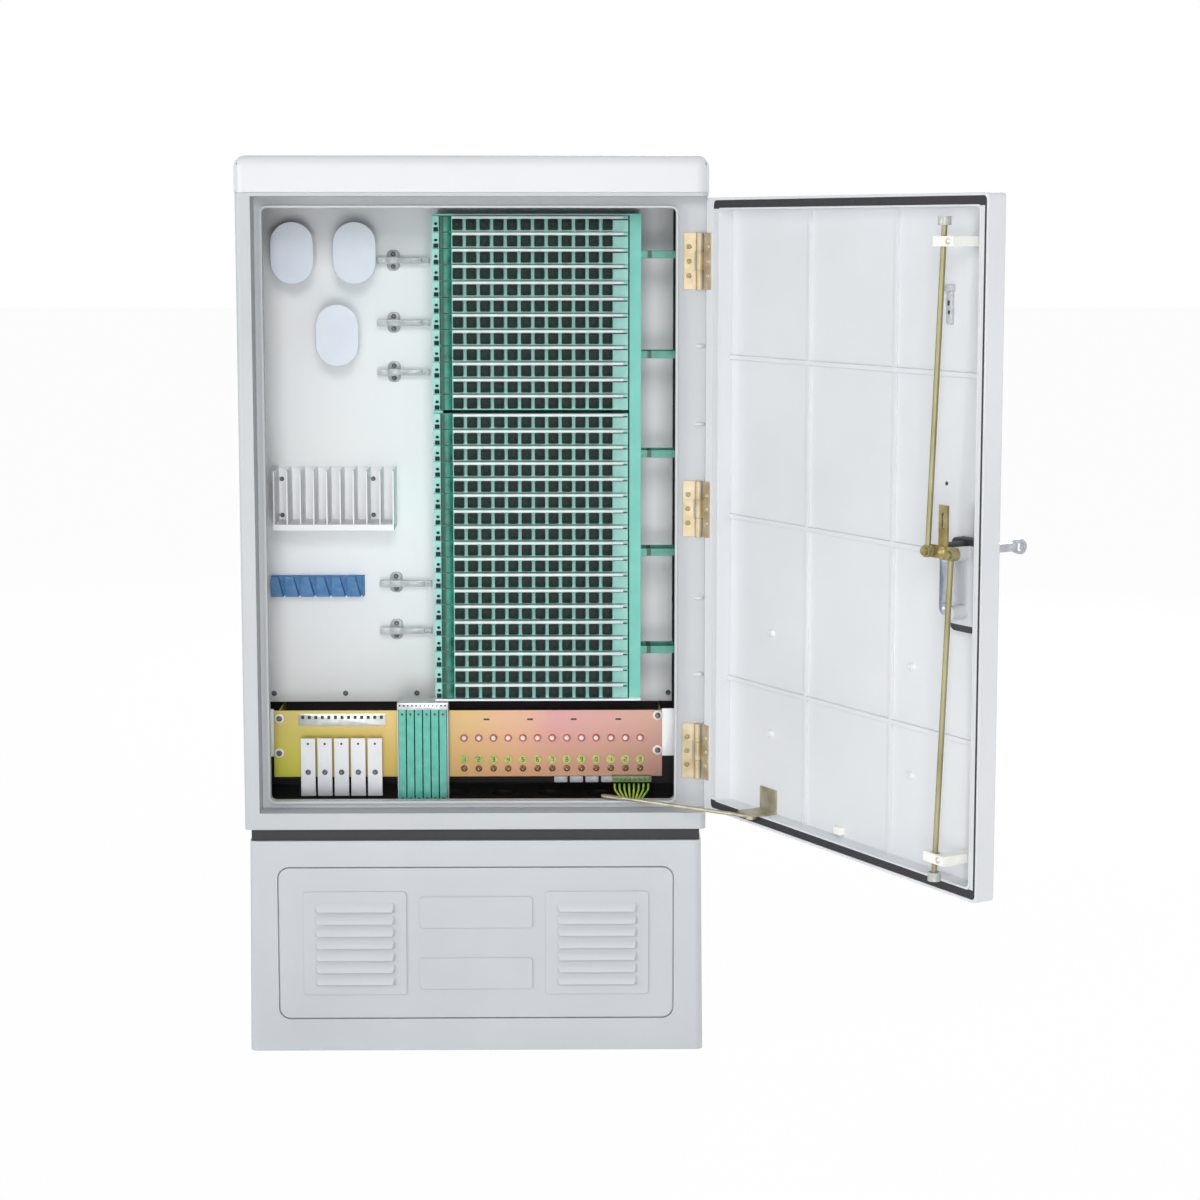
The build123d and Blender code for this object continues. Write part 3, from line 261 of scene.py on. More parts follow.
def cross_head(radius, height, around=32, rings=9):
    """Screw head on a polar grid: height falls from the crown to the rim as a rounded power of the radius,
    less a cross-shaped recess, which is deepest in the middle and shallow at the ends of its arms."""
    turn = np.linspace(0, 2 * np.pi, around, endpoint=False)
    share = np.linspace(0.02, 1.0, rings)[::-1, None]
    x = share * np.cos(turn)
    y = share * np.sin(turn)
    dome = (1.0 - share ** 2.6 + 0 * turn) ** 0.6
    arm = np.minimum(np.abs(x), np.abs(y))
    reach = np.maximum(np.abs(x), np.abs(y))
    recess = np.where((arm < 0.15) & (reach < 0.62), 0.75 - 0.5 * reach, 0.0)
    z = height * np.maximum(dome - recess, 0.0)
    points = np.stack([x * radius, y * radius, z], axis=-1).reshape(-1, 3)
    return points, ring_faces(rings, around)


def screws(name, places, normal, radius, height, finish, body, slot):
    """Screw heads of one size on one face, as a single piece."""
    points, faces = cross_head(radius, height)
    return mesh_piece(name, *copies(turned_to(points, normal), faces, places), finish, body, slot)


open_turn = math.radians(120)
hinge_pin = np.array([0.361, -0.124, 0.0])
door_out = np.array([-math.cos(open_turn), -math.sin(open_turn), 0.0])
door_in = np.array([-math.sin(open_turn), math.cos(open_turn), 0.0])


def on_door(along, inward, height):
    """Point on the open door: distance from the hinge pin to the free edge, offset to the inside, height."""
    return hinge_pin + along * door_out + inward * door_in + (0, 0, height)


hinge_middles, screw_steps = (0.491, 0.8875, 1.284), (-0.023, 0.0, 0.023)
hinge_heights = [middle + step for middle in hinge_middles for step in screw_steps]
leaf_screw = (0.0042, 0.0022)
screws("hinge_frame_screws", [(0.344, -0.120, z) for z in hinge_heights], to_front, *leaf_screw,
       hinge_zinc, "cabinet", "gilt_zinc")
screws("hinge_door_screws", [on_door(0.017, -0.004, z) for z in hinge_heights], door_in, *leaf_screw,
       hinge_zinc, "door", "gilt_zinc")

# Door: a pressed leaf with a folded return, an inner rim and three stiffening ribs, ejected from
# the mould with four bosses for a document pocket and a stop pad on the lower rim.
door_grey = plain_finish("door_grey", linear(221, 224, 227), 0.40)
clouded(door_grey, linear(217, 220, 223), linear(225, 227, 230), 4.0)
grained(door_grey, 850.0, 0.00025, 0.0018)
dress(door_grey, "door_panel")
boss_profile = [(0.0066, 0.0), (0.0056, 0.0012), (0.005, 0.005), (0.0044, 0.0058), (0.0024, 0.0058),
                (0.002, 0.0046), (0.0002, 0.0044)]
boss_points, boss_faces = round_grid(boss_profile, 24)
skin_in = -0.032
boss_places = [on_door(along, skin_in, z) for along in (0.1645, 0.522) for z in (0.545, 0.705)]
mesh_piece("pocket_bosses", *copies(turned_to(boss_points, door_in), boss_faces, boss_places),
           door_grey, "door", "case_smc")

# Seal: a foamed rubber gasket glued into the channel round the door's inner rim, coloured black along the top
# and foot; up the sides it is coloured the door's pale grey, all but its outermost edge.
seal_black = plain_finish("seal_black", linear(40, 40, 43), 0.7)
seal_ramp = clouded(seal_black, linear(34, 34, 37), linear(50, 49, 52), 120.0)
grained(seal_black, 2200.0, 0.0003)
tree = seal_black.node_tree
seal_side_span = within(tree, door_out, 0.0, 0.6985, hinge_pin)
pale_side_mask = both_of(tree, within(tree, upward, 0.4165, 1.3665), seal_side_span)
# The side parts of the black gasket are coloured pale grey, all but the outermost edge.
tinted(tree, pale_side_mask, seal_ramp.outputs["Color"], linear(214, 217, 220))
dress(seal_black, "door_seal")

# Lock: a cast housing let into the door, black outside and bright zinc inside, with a gold-passivated
# cam that drives two long rods, a domed hub bolt and a folding chrome handle.
lock_black = plain_finish("lock_black", linear(46, 46, 50), 0.45)
lock_ramp = clouded(lock_black, linear(38, 38, 42), linear(56, 56, 60), 90.0)
grained(lock_black, 1600.0, 0.0003, 0.0008)
tree = lock_black.node_tree
back_depth = within(tree, door_in, -0.030, 0.030, hinge_pin)
bright_back = both_of(tree, within(tree, upward, 0.784, 0.897), back_depth)
tinted(tree, bright_back, lock_ramp.outputs["Color"], linear(206, 209, 213))
dress(lock_black, "lock_housing")
cam_gold = plain_finish("cam_gold", linear(158, 140, 88), 0.34, 0.85)
clouded(cam_gold, linear(138, 120, 70), linear(184, 168, 118), 55.0)
grained(cam_gold, 900.0, 0.0002, 0.0006)
dress(cam_gold, "lock_cam")
dome_profile = [(math.cos(a), math.sin(a)) for a in np.linspace(0.0, 1.56, 10)]
hub_points, hub_faces = round_grid([(0.0104 * r, 0.0082 * h) for r, h in dome_profile], 36)
lock_along, lock_height, cam_face = 0.649, 0.889, 0.018
hub_place = on_door(lock_along, cam_face, lock_height)
mesh_piece("hub_dome", turned_to(hub_points, door_in) + hub_place, hub_faces,
           cam_gold, "lock_cam", "gilt_zinc")
tail_zinc = plain_finish("tail_zinc", linear(170, 178, 190), 0.3, 0.7)
clouded(tail_zinc, linear(152, 162, 176), linear(190, 196, 205), 60.0)
grained(tail_zinc, 900.0, 0.0002)


def rounded_box(width, height, radius, per_corner=5):
    """Outline of a rectangle with round corners, run counter-clockwise from the lower right."""
    turn = np.linspace(0, np.pi / 2, per_corner)
    signs = np.array([(1, -1), (1, 1), (-1, 1), (-1, -1)])
    start = np.array([-np.pi / 2, 0.0, np.pi / 2, np.pi])
    angle = (start[:, None] + turn).ravel()
    middle = np.repeat(signs * (width / 2 - radius, height / 2 - radius), per_corner, axis=0)
    return middle + radius * np.stack([np.cos(angle), np.sin(angle)], axis=-1)


def slab(outline, height, bevel):
    """Points and faces of a plate: an outline carried up from the seat to a height, its upper edge
    pulled in along the outline's own normal over the bevel and closed at the middle."""
    run = np.roll(outline, -1, axis=0) - np.roll(outline, 1, axis=0)
    run = run / np.linalg.norm(run, axis=1)[:, None]
    outward = np.stack([run[:, 1], -run[:, 0]], axis=-1)
    middle = outline.mean(axis=0)
    dot = middle + 0.001 * (outline - middle)
    steps = [
        (dot, 0.0), (outline, 0.0), (outline, height - bevel),
        (outline - 0.3 * bevel * outward, height - 0.3 * bevel),
        (outline - bevel * outward, height), (dot, height),
    ]
    points = np.concatenate([np.column_stack([ring, np.full(len(ring), level)]) for ring, level in steps])
    return points, ring_faces(len(steps), len(outline))


def merged(*shapes):
    """Several shapes of points and faces as one."""
    sizes = np.cumsum([0] + [len(points) for points, faces in shapes])
    points = np.concatenate([points for points, faces in shapes])
    faces = np.concatenate([np.asarray(faces) + size for (points_, faces), size in zip(shapes, sizes)])
    return points, faces


def on_inner_face(shape, along, inward, height):
    """A shape drawn about +Z set on the door's inside at one place."""
    points, faces = shape
    return turned_to(points, door_in) + on_door(along, inward, height), faces


tail_shape = slab(rounded_box(0.0230, 0.0740, 0.0030), 0.0024, 0.0005)
nut_shape = round_grid([(0.0088 * r, 0.0060 * h) for r, h in dome_profile], 28)
mesh_piece("lock_tail", *merged(on_inner_face(tail_shape, 0.6400, 0.0035, 0.8420),
                                on_inner_face(nut_shape, 0.6410, 0.0058, 0.8080)),
           tail_zinc, "door", "chrome_plate")
handle_chrome = plain_finish("handle_chrome", linear(184, 186, 194), 0.16, 0.95)
clouded(handle_chrome, linear(168, 170, 180), linear(200, 202, 208), 70.0)
grained(handle_chrome, 500.0, 0.00005, 0.0012)
dress(handle_chrome, "lock_handle")

# Rods: long brass-plated steel rods that shoot up and down from the cam, led through nylon guides
# bolted to the door, with a clear plastic roller on each end.
rod_brass = plain_finish("rod_brass", linear(152, 146, 104), 0.46, 0.55)
clouded(rod_brass, linear(138, 131, 88), linear(164, 159, 122), 12.0)
grained(rod_brass, 90.0, 0.000005)
dress(rod_brass, "upper_rod", "lower_rod")
guide_nylon = plain_finish("guide_nylon", linear(244, 244, 236), 0.45)
clouded(guide_nylon, linear(240, 240, 230), linear(248, 248, 242), 60.0)
grained(guide_nylon, 1500.0, 0.0002, 0.001)
dress(guide_nylon, "rod_guides")
bolt_pale = plain_finish("bolt_pale", linear(206, 204, 196), 0.3, 0.7)
clouded(bolt_pale, linear(190, 188, 178), linear(218, 216, 210), 150.0)
grained(bolt_pale, 900.0, 0.0001)
bolt_shape = round_grid([(0.0048 * r, 0.0030 * h) for r, h in dome_profile], 24)
guide_face, guide_heights = 0.0314, (0.458, 1.318)
bolts = [on_inner_face(bolt_shape, 0.6680, guide_face, z) for z in guide_heights]
mesh_piece("guide_bolts", *merged(*bolts), bolt_pale, "door", "chrome_plate")


def moved(shape, x, y, z):
    """A shape of points and faces at another place."""
    return shape[0] + np.array([x, y, z]), shape[1]


roller_clear = plain_finish("roller_clear", linear(226, 229, 232), 0.15)
clouded(roller_clear, linear(216, 220, 224), linear(236, 238, 240), 160.0)
grained(roller_clear, 600.0, 0.0002)
roller_clear.node_tree.nodes["Principled BSDF"].inputs["Transmission Weight"].default_value = 0.45
roller_shape = round_grid([
    (0.0074, 0.0), (0.0090, 0.0), (0.0096, 0.0010), (0.0092, 0.0034), (0.0092, 0.0090), (0.0096, 0.0114),
    (0.0090, 0.0124), (0.0074, 0.0124)], 32)
rod_in = 0.0229
for rod, foot in (("upper", 1.3398), ("lower", 0.4238)):
    mesh_piece(rod + "_roller", *moved(roller_shape, *on_door(lock_along, rod_in, foot)), roller_clear,
               rod + "_rod", "clear_plastic")

# Small fittings of the door: a clear hanger with two keyholes near the top, a stop pad on the lower
# rim and a rivet above the lock.
hanger = merged(slab(rounded_box(0.0120, 0.0540, 0.0040), 0.0050, 0.0012),
                moved(slab(rounded_box(0.0160, 0.0100, 0.0030), 0.0080, 0.0010), 0.0, 0.0240, 0.0))
hanger_along = 0.5980
mesh_piece("door_hanger", *on_inner_face(hanger, hanger_along, skin_in, 1.2290),
           roller_clear, "door", "clear_plastic")
rivet_shape = round_grid([(0.0030 * r, 0.0018 * h) for r, h in dome_profile], 16)
keyhole = merged(slab(rounded_box(0.0050, 0.0080, 0.0024, 3), 0.0004, 0.0001),
                 moved(slab(rounded_box(0.0044, 0.0060, 0.0020, 3), 0.0004, 0.0001), 0.0010, -0.0130, 0.0))
hanger_face = skin_in + 0.0050
mesh_piece("hanger_keyholes", *merged(on_inner_face(keyhole, hanger_along, hanger_face, 1.2320),
                                      on_inner_face(rivet_shape, 0.5940, skin_in, 0.9780)),
           lock_black, "door", "lock_casting")
pad_shape = slab(rounded_box(0.0200, 0.0120, 0.0030), 0.0080, 0.0020)
mesh_piece("stop_pad", *on_inner_face(pad_shape, 0.3510, skin_in, 0.4275), guide_nylon, "door", "nylon")

# Stay: an olive zinc-plated rod with flattened ends, pinned to a bracket at the door's foot
# and caught on the sill to hold the door open.
stay_zinc = plain_finish("stay_zinc", linear(172, 164, 142), 0.42, 0.6)
clouded(stay_zinc, linear(150, 142, 112), linear(192, 186, 168), 45.0)
grained(stay_zinc, 90.0, 0.000005)
dress(stay_zinc, "stay_rod", "stay_bracket")

# Backboard: powder-coated white steel sheet with folded edges, bolted to the case
# and carrying everything on the left half of the bay.
white_coat = plain_finish("white_coat", linear(249, 250, 252), 0.35)
clouded(white_coat, linear(246, 248, 250), linear(251, 252, 253), 7.0)
grained(white_coat, 1800.0, 0.00015, 0.0008)
dress(white_coat, "backboard")
steel_dark = plain_finish("steel_dark", linear(120, 122, 126), 0.35, 0.8)
clouded(steel_dark, linear(104, 106, 110), linear(140, 142, 146), 200.0)
grained(steel_dark, 900.0, 0.0001)
board_y = 0.105
screws("backboard_screws", [(x, board_y, 0.5455) for x in (-0.353, -0.231, -0.109, 0.322)], to_front,
       0.0046, 0.0024, steel_dark, "cabinet", "chrome_plate")

# Spools: fibre-storage bobbins moulded in milky plastic, a flat oval flange on a waisted neck
# that is snapped through the backboard.
spool_milk = plain_finish("spool_milk", linear(226, 235, 246), 0.3)
clouded(spool_milk, linear(221, 231, 243), linear(231, 238, 248), 14.0)
grained(spool_milk, 700.0, 0.0001)
milk_shader = spool_milk.node_tree.nodes["Principled BSDF"]
milk_shader.inputs["Subsurface Weight"].default_value = 0.15
milk_shader.inputs["Subsurface Radius"].default_value = (0.004, 0.004, 0.005)


def oval_stack(section, per_corner):
    """Points and faces of stacked ovals with straight flanks, from each step's half width, half height
    and level."""
    rings = [np.column_stack([rounded_box(2 * x, 2 * y, x, per_corner), np.full(4 * per_corner, level)])
             for x, y, level in section]
    return np.concatenate(rings), ring_faces(len(section), 4 * per_corner)


spool_section = [
    (0.0002, 0.0003, 0.0), (0.0270, 0.0420, 0.0), (0.0285, 0.0435, 0.0012), (0.0285, 0.0435, 0.0030),
    (0.0262, 0.0412, 0.0046), (0.0232, 0.0387, 0.0080), (0.0225, 0.0380, 0.0300), (0.0232, 0.0387, 0.0560),
    (0.0262, 0.0412, 0.0620), (0.0330, 0.0485, 0.0644), (0.0352, 0.0507, 0.0650), (0.0355, 0.0510, 0.0656),
    (0.0355, 0.0510, 0.0670), (0.0352, 0.0507, 0.0678), (0.0346, 0.0501, 0.0680), (0.0340, 0.0495, 0.0680),
    (0.0200, 0.0355, 0.0680), (0.0002, 0.0003, 0.0680),
]
spool_points, spool_faces = oval_stack(spool_section, 16)
spool_places = [(-0.305, board_y, 1.296), (-0.202, board_y, 1.296), (-0.232, board_y, 1.160)]
spools = mesh_piece("milk_spools", *copies(turned_to(spool_points, to_front), spool_faces, spool_places),
                    spool_milk, "cabinet", "clear_plastic")
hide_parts("fibre_spools")

# Clips: clear polycarbonate routing clips, a plate held by two screws with a short tail to the
# left and a long bar to the right that ends in a square loop.
clip_clear = plain_finish("clip_clear", linear(226, 229, 231), 0.18)
clouded(clip_clear, linear(214, 218, 220), linear(236, 238, 240), 110.0)
grained(clip_clear, 500.0, 0.0003)
clip_shader = clip_clear.node_tree.nodes["Principled BSDF"]
clip_shader.inputs["Transmission Weight"].default_value = 0.35
clip_shader.inputs["IOR"].default_value = 1.5

def seen_from_front(shape, places):
    """A shape drawn about +Z set upright to face the front, once at each place."""
    return copies(turned_to(shape[0], to_front), shape[1], places)


def front_piece(name, shape, places, finish, slot, body="cabinet"):
    """A piece made of one shape that faces the front at each place."""
    return mesh_piece(name, *seen_from_front(shape, places), finish, body, slot)


clip_shape = merged(
    slab(rounded_box(0.0215, 0.0345, 0.0085), 0.0045, 0.0012),
    moved(slab(rounded_box(0.0200, 0.0118, 0.0020), 0.0255, 0.0012), 0.0, 0.0, 0.0004),
    moved(slab(rounded_box(0.0180, 0.0116, 0.0024), 0.0100, 0.0010), -0.0180, 0.0, 0.0158),
    moved(slab(rounded_box(0.0400, 0.0098, 0.0016), 0.0098, 0.0010), 0.0286, 0.0, 0.0158),
    moved(slab(rounded_box(0.0330, 0.0046, 0.0010), 0.0102, 0.0003), 0.0280, 0.0, 0.0157),
    moved(slab(rounded_box(0.0022, 0.0098, 0.0006), 0.0098, 0.0005), 0.0604, 0.0, 0.0158),
    moved(slab(rounded_box(0.0130, 0.0020, 0.0006), 0.0098, 0.0005), 0.0550, 0.0040, 0.0158),
    moved(slab(rounded_box(0.0130, 0.0020, 0.0006), 0.0098, 0.0005), 0.0550, -0.0040, 0.0158),
)
clip_heights = (1.283, 1.179, 1.096, 0.738, 0.657)
clip_x, plate_thickness = -0.142, 0.0045
clips = front_piece("clear_clips", clip_shape, [(clip_x, board_y, z) for z in clip_heights],
                    clip_clear, "clear_plastic")
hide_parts("routing_clips")
clip_screw_places = [(clip_x, board_y - plate_thickness, z + step)
                     for z in clip_heights for step in (-0.0105, 0.0105)]
screws("clip_screws", clip_screw_places, to_front, 0.0042, 0.0022, steel_dark, "cabinet", "chrome_plate")

# Splitter rack: a folded white shelf with ten upright fins that take slide-in splitter modules,
# screwed to the backboard at four corners.
rack_white = plain_finish("rack_white", linear(248, 249, 251), 0.38)
clouded(rack_white, linear(245, 247, 249), linear(250, 251, 252), 12.0)
grained(rack_white, 1500.0, 0.0002, 0.0006)
dress(rack_white, "splitter_rack")
rack_low, rack_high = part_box("splitter_rack")
fin_thickness = 0.0024
fin_pitch = (rack_high[0] - rack_low[0] - fin_thickness) / 9
rack_back = 0.003
screw_inset = 0.0068
rack_screw_places = [(rack_low[0] + screw_inset + bay * fin_pitch, board_y - rack_back, rack_low[2] + lift)
                     for bay in (0, 7) for lift in (0.0173, 0.0789)]
screws("rack_screws", rack_screw_places, to_front, 0.0040, 0.0022, steel_dark, "cabinet", "chrome_plate")

# Parking strip: blue closed-cell foam cut with slanted slots that hold idle connectors, glued
# to the backboard below the rack.
foam_blue = plain_finish("foam_blue", linear(92, 141, 192), 0.75)
clouded(foam_blue, linear(78, 128, 182), linear(106, 154, 202), 80.0)
grained(foam_blue, 1400.0, 0.0006, 0.001)
dress(foam_blue, "parking_strip")

# Tray frame: moulded green columns and shelves that carry thirty swing-out trays; the lower shelf
# is white sheet.
frame_green = plain_finish("frame_green", linear(101, 190, 175), 0.4)
frame_ramp = clouded(frame_green, linear(92, 184, 168), linear(111, 196, 182), 25.0)
grained(frame_green, 1200.0, 0.0002, 0.0008)
tree = frame_green.node_tree
tinted(tree, within(tree, upward, 0.5, 0.5655), frame_ramp.outputs["Color"], linear(238, 240, 244))
dress(frame_green, "tray_frame")

# Trays: pale green pans moulded in one piece with a pivot eye, each with a row of twelve adapters,
# a dark knuckle beside the pivot, a label rail over the row and a dust cap in every adapter.
tray_mint = plain_finish("tray_mint", linear(136, 200, 190), 0.38)
clouded(tray_mint, linear(124, 193, 181), linear(148, 206, 198), 40.0)
grained(tray_mint, 1300.0, 0.0002, 0.0006)
knuckle_green = plain_finish("knuckle_green", linear(14, 112, 92), 0.42)
knuckle_ramp = clouded(knuckle_green, linear(4, 84, 66), linear(34, 138, 116), 60.0)
grained(knuckle_green, 1300.0, 0.0002)
tree = knuckle_green.node_tree
# Painted shade: the left-hand part of the knuckle, which turns away from the light, is coloured darker.
tinted(tree, within(tree, across, -0.0620, -0.0500), knuckle_ramp.outputs["Color"], linear(14, 74, 62))
cap_black_and_painted_shadow = plain_finish("cap_black_and_painted_shadow", linear(14, 26, 24), 0.55)
clouded(cap_black_and_painted_shadow, linear(8, 16, 15), linear(26, 44, 40), 160.0)
grained(cap_black_and_painted_shadow, 1500.0, 0.0002)
cap_black_and_painted_shadow.node_tree.nodes["Principled BSDF"].inputs["Specular IOR Level"].default_value = 0.2
label_white = plain_finish("label_white", linear(216, 222, 222), 0.5)
clouded(label_white, linear(204, 214, 212), linear(226, 230, 230), 50.0)
grained(label_white, 2500.0, 0.0001)
tray_front = -0.050
cap_shape = merged(
    slab(rounded_box(0.0164, 0.0176, 0.0012, 2), 0.0030, 0.0006),
    moved(slab(rounded_box(0.0098, 0.0106, 0.0012, 2), 0.0020, 0.0006), 0.0, 0.0, 0.0030),
)
rail_shape = slab(rounded_box(0.2770, 0.0042, 0.0006, 2), 0.0128, 0.0004)
# Painted shadow: a thin dark strip near the right end of each tray stands for the shaded gap between the
# trays.
painted_gap_shadow = slab(rounded_box(0.0260, 0.0018, 0.0003, 2), 0.0006, 0.0002)
knuckle_radius = 0.0100
knuckle_turn = np.linspace(-np.pi / 2, np.pi / 2, 13)
knuckle_x = knuckle_radius * np.sin(knuckle_turn) - 0.0475
knuckle_y = tray_front - 0.55 * knuckle_radius * np.cos(knuckle_turn)


def surface(name, points, finish, body, slot):
    """Piece from a grid of points, row by row: four neighbours make a face."""
    rows, columns = points.shape[:2]
    i = np.arange(rows - 1)[:, None] * columns
    j = np.arange(columns - 1)[None, :]
    faces = np.stack([i + j, i + j + 1, i + columns + j + 1, i + columns + j], axis=-1).reshape(-1, 4)
    return mesh_piece(name, points.reshape(-1, 3), faces, finish, body, slot)


eye_shape = slab(rounded_box(0.0056, 0.0044, 0.0020, 3), 0.0016, 0.0005)
catch_shape = merged(
    slab(rounded_box(0.0078, 0.0070, 0.0008, 2), 0.0014, 0.0003),
    moved(slab(rounded_box(0.0026, 0.0030, 0.0004, 2), 0.0008, 0.0002), 0.0, -0.0016, 0.0014),
)
top_level, tray_pitch, upper_trays, shelf_step = 1.343, 0.0262, 12, 0.005
adapter_x = [-0.027 + 0.022 * k for k in range(12)]
adapter_reach, latch_x = 0.012, -0.0625
for index in range(30):
    name = f"tray_{index + 1:02d}"
    level = top_level - tray_pitch * index - (shelf_step if index >= upper_trays else 0.0)
    dress(tray_mint, name)
    cap_places = [(x, tray_front - adapter_reach, level - 0.0008) for x in adapter_x]
    front_piece(name + "_caps", cap_shape, cap_places, cap_black_and_painted_shadow, "dark_rubber", name)
    rail_place = (0.1025, tray_front, level + 0.0105)
    front_piece(name + "_rail", rail_shape, [rail_place], label_white, "white_sheet", name)
    ends = np.array([level - 0.0122, level + 0.0122])[:, None]
    knuckle = np.stack(np.broadcast_arrays(knuckle_x, knuckle_y, ends), axis=-1)
    surface(name + "_knuckle", knuckle, knuckle_green, name, "tray_green")
    mesh_piece(name + "_catches_and_painted_shadow", *merged(
        seen_from_front(eye_shape, [(latch_x, tray_front, level + 0.0005)]),
        seen_from_front(catch_shape, [(latch_x, tray_front, level - 0.0085)]),
        # The thin dark strip placed here is painted shadow.
        seen_from_front(painted_gap_shadow, [(0.2350, tray_front, level + 0.0070)]),
    ), cap_black_and_painted_shadow, name, "dark_rubber")

# Routing arms: green fingers moulded in one piece with a dark root, screwed to a post at the right
# of the stack to lead the jumpers down the bay.
arm_green = plain_finish("arm_green", linear(66, 148, 128), 0.4)
arm_ramp = clouded(arm_green, linear(54, 134, 114), linear(80, 162, 143), 50.0)
grained(arm_green, 1200.0, 0.0002, 0.001)
tree = arm_green.node_tree
tinted(tree, within(tree, across, 0.280, 0.287), arm_ramp.outputs["Color"], linear(20, 70, 60))
dress(arm_green, "routing_arms")

# Earth panel: rainbow-passivated zinc sheet across the foot of the bay on white end brackets, with
# thirteen ringed posts, numbered discs and bronze screws; a bright sleeve for the splice bars is part of it.
def along_ramp(tree, source, stops):
    """Colour that runs through given tints as a share goes from nought to one."""
    ramp = tree.nodes.new("ShaderNodeValToRGB")
    band = ramp.color_ramp.elements
    band[0].position, band[0].color = stops[0]
    band[1].position, band[1].color = stops[-1]
    for position, tint in stops[1:-1]:
        band.new(position).color = tint
    tree.links.new(source, ramp.inputs["Fac"])
    return ramp.outputs["Color"]


def spread(tree, source, low, high):
    """Share of the way that a coordinate has gone from low to high, kept within nought and one."""
    share = tree.nodes.new("ShaderNodeMapRange")
    share.inputs["From Min"].default_value = low
    share.inputs["From Max"].default_value = high
    tree.links.new(source, share.inputs["Value"])
    return share.outputs["Result"]


rainbow_zinc = plain_finish("rainbow_zinc", linear(238, 210, 156), 0.4, 0.25)
tree = rainbow_zinc.node_tree
where = tree.nodes.new("ShaderNodeTexCoord")
place = tree.nodes.new("ShaderNodeSeparateXYZ")
tree.links.new(where.outputs["Object"], place.inputs[0])
wander = tree.nodes.new("ShaderNodeMath")
wander.operation = "MULTIPLY_ADD"
wander.inputs[1].default_value = 0.16
tree.links.new(object_noise(tree, 8.0, 3.0).outputs["Fac"], wander.inputs[0])
tree.links.new(spread(tree, place.outputs["X"], -0.395, 0.365), wander.inputs[2])
film_high = along_ramp(tree, wander.outputs[0], [
    (0.10, linear(191, 177, 93)), (0.32, linear(206, 184, 104)), (0.58, linear(206, 173, 117)),
    (0.76, linear(192, 140, 140)), (1.0, linear(190, 149, 132))])
film_low = along_ramp(tree, wander.outputs[0], [
    (0.08, linear(156, 166, 33)), (0.22, linear(195, 190, 56)), (0.45, linear(199, 167, 86)),
    (0.68, linear(186, 138, 97)), (1.0, linear(154, 113, 99))])
film = tree.nodes.new("ShaderNodeMix")
film.data_type = "RGBA"
tree.links.new(spread(tree, place.outputs["Z"], 0.435, 0.525), film.inputs["Factor"])
tree.links.new(film_low, film.inputs["A"])
tree.links.new(film_high, film.inputs["B"])
grained(rainbow_zinc, 900.0, 0.0001, 0.0006)
tinted(tree, within(tree, backward, -0.0940, -0.0225), film.outputs["Result"], linear(190, 195, 199))
dress(rainbow_zinc, "earth_panel")

panel_y = -0.020
post_pale = plain_finish("post_pale", linear(232, 228, 222), 0.4)
clouded(post_pale, linear(220, 214, 206), linear(240, 238, 234), 150.0)
grained(post_pale, 1500.0, 0.0001)
ring_red = plain_finish("ring_red", linear(196, 84, 78), 0.4)
clouded(ring_red, linear(176, 66, 62), linear(214, 108, 98), 150.0)
grained(ring_red, 1500.0, 0.0001)
disc_green = plain_finish("disc_green", linear(176, 186, 92), 0.45)
clouded(disc_green, linear(150, 172, 76), linear(200, 200, 112), 260.0)
grained(disc_green, 1500.0, 0.0001)
mark_dark = plain_finish("mark_dark", linear(44, 42, 38), 0.5)
clouded(mark_dark, linear(36, 34, 32), linear(56, 54, 48), 300.0)
grained(mark_dark, 1500.0, 0.0001)
screw_bronze = plain_finish("screw_bronze", linear(132, 108, 84), 0.35, 0.6)
clouded(screw_bronze, linear(108, 86, 66), linear(156, 132, 106), 200.0)
grained(screw_bronze, 900.0, 0.0001)
post_x = [-0.0233 + 0.02447 * k for k in range(13)]
post_level, disc_level, foot_level = 0.4923, 0.4560, 0.4405


def posts_at(level):
    """One place on the panel's face under each post, at a level."""
    return [(x, panel_y, level) for x in post_x]


ring_profile = [(0.0064, 0.0), (0.0064, 0.0016), (0.0056, 0.0026), (0.0042, 0.0026), (0.0040, 0.0008)]
ring_shape = round_grid(ring_profile, 24)
stud_shape = round_grid([(0.0039, 0.0), (0.0039, 0.0034), (0.0030, 0.0044), (0.0002, 0.0046)], 18)
disc_thickness = 0.0012
disc_profile = [(0.0074, 0.0), (0.0074, 0.0008), (0.0070, disc_thickness), (0.0002, disc_thickness)]
disc_shape = round_grid(disc_profile, 28)
front_piece("post_rings", ring_shape, posts_at(post_level), ring_red, "wire_skin")
front_piece("post_studs", stud_shape, posts_at(post_level), post_pale, "chrome_plate")
front_piece("number_discs", disc_shape, posts_at(disc_level), disc_green, "tray_green")
screws("post_screws", posts_at(foot_level), to_front, 0.0056, 0.0030, screw_bronze, "cabinet", "gilt_zinc")

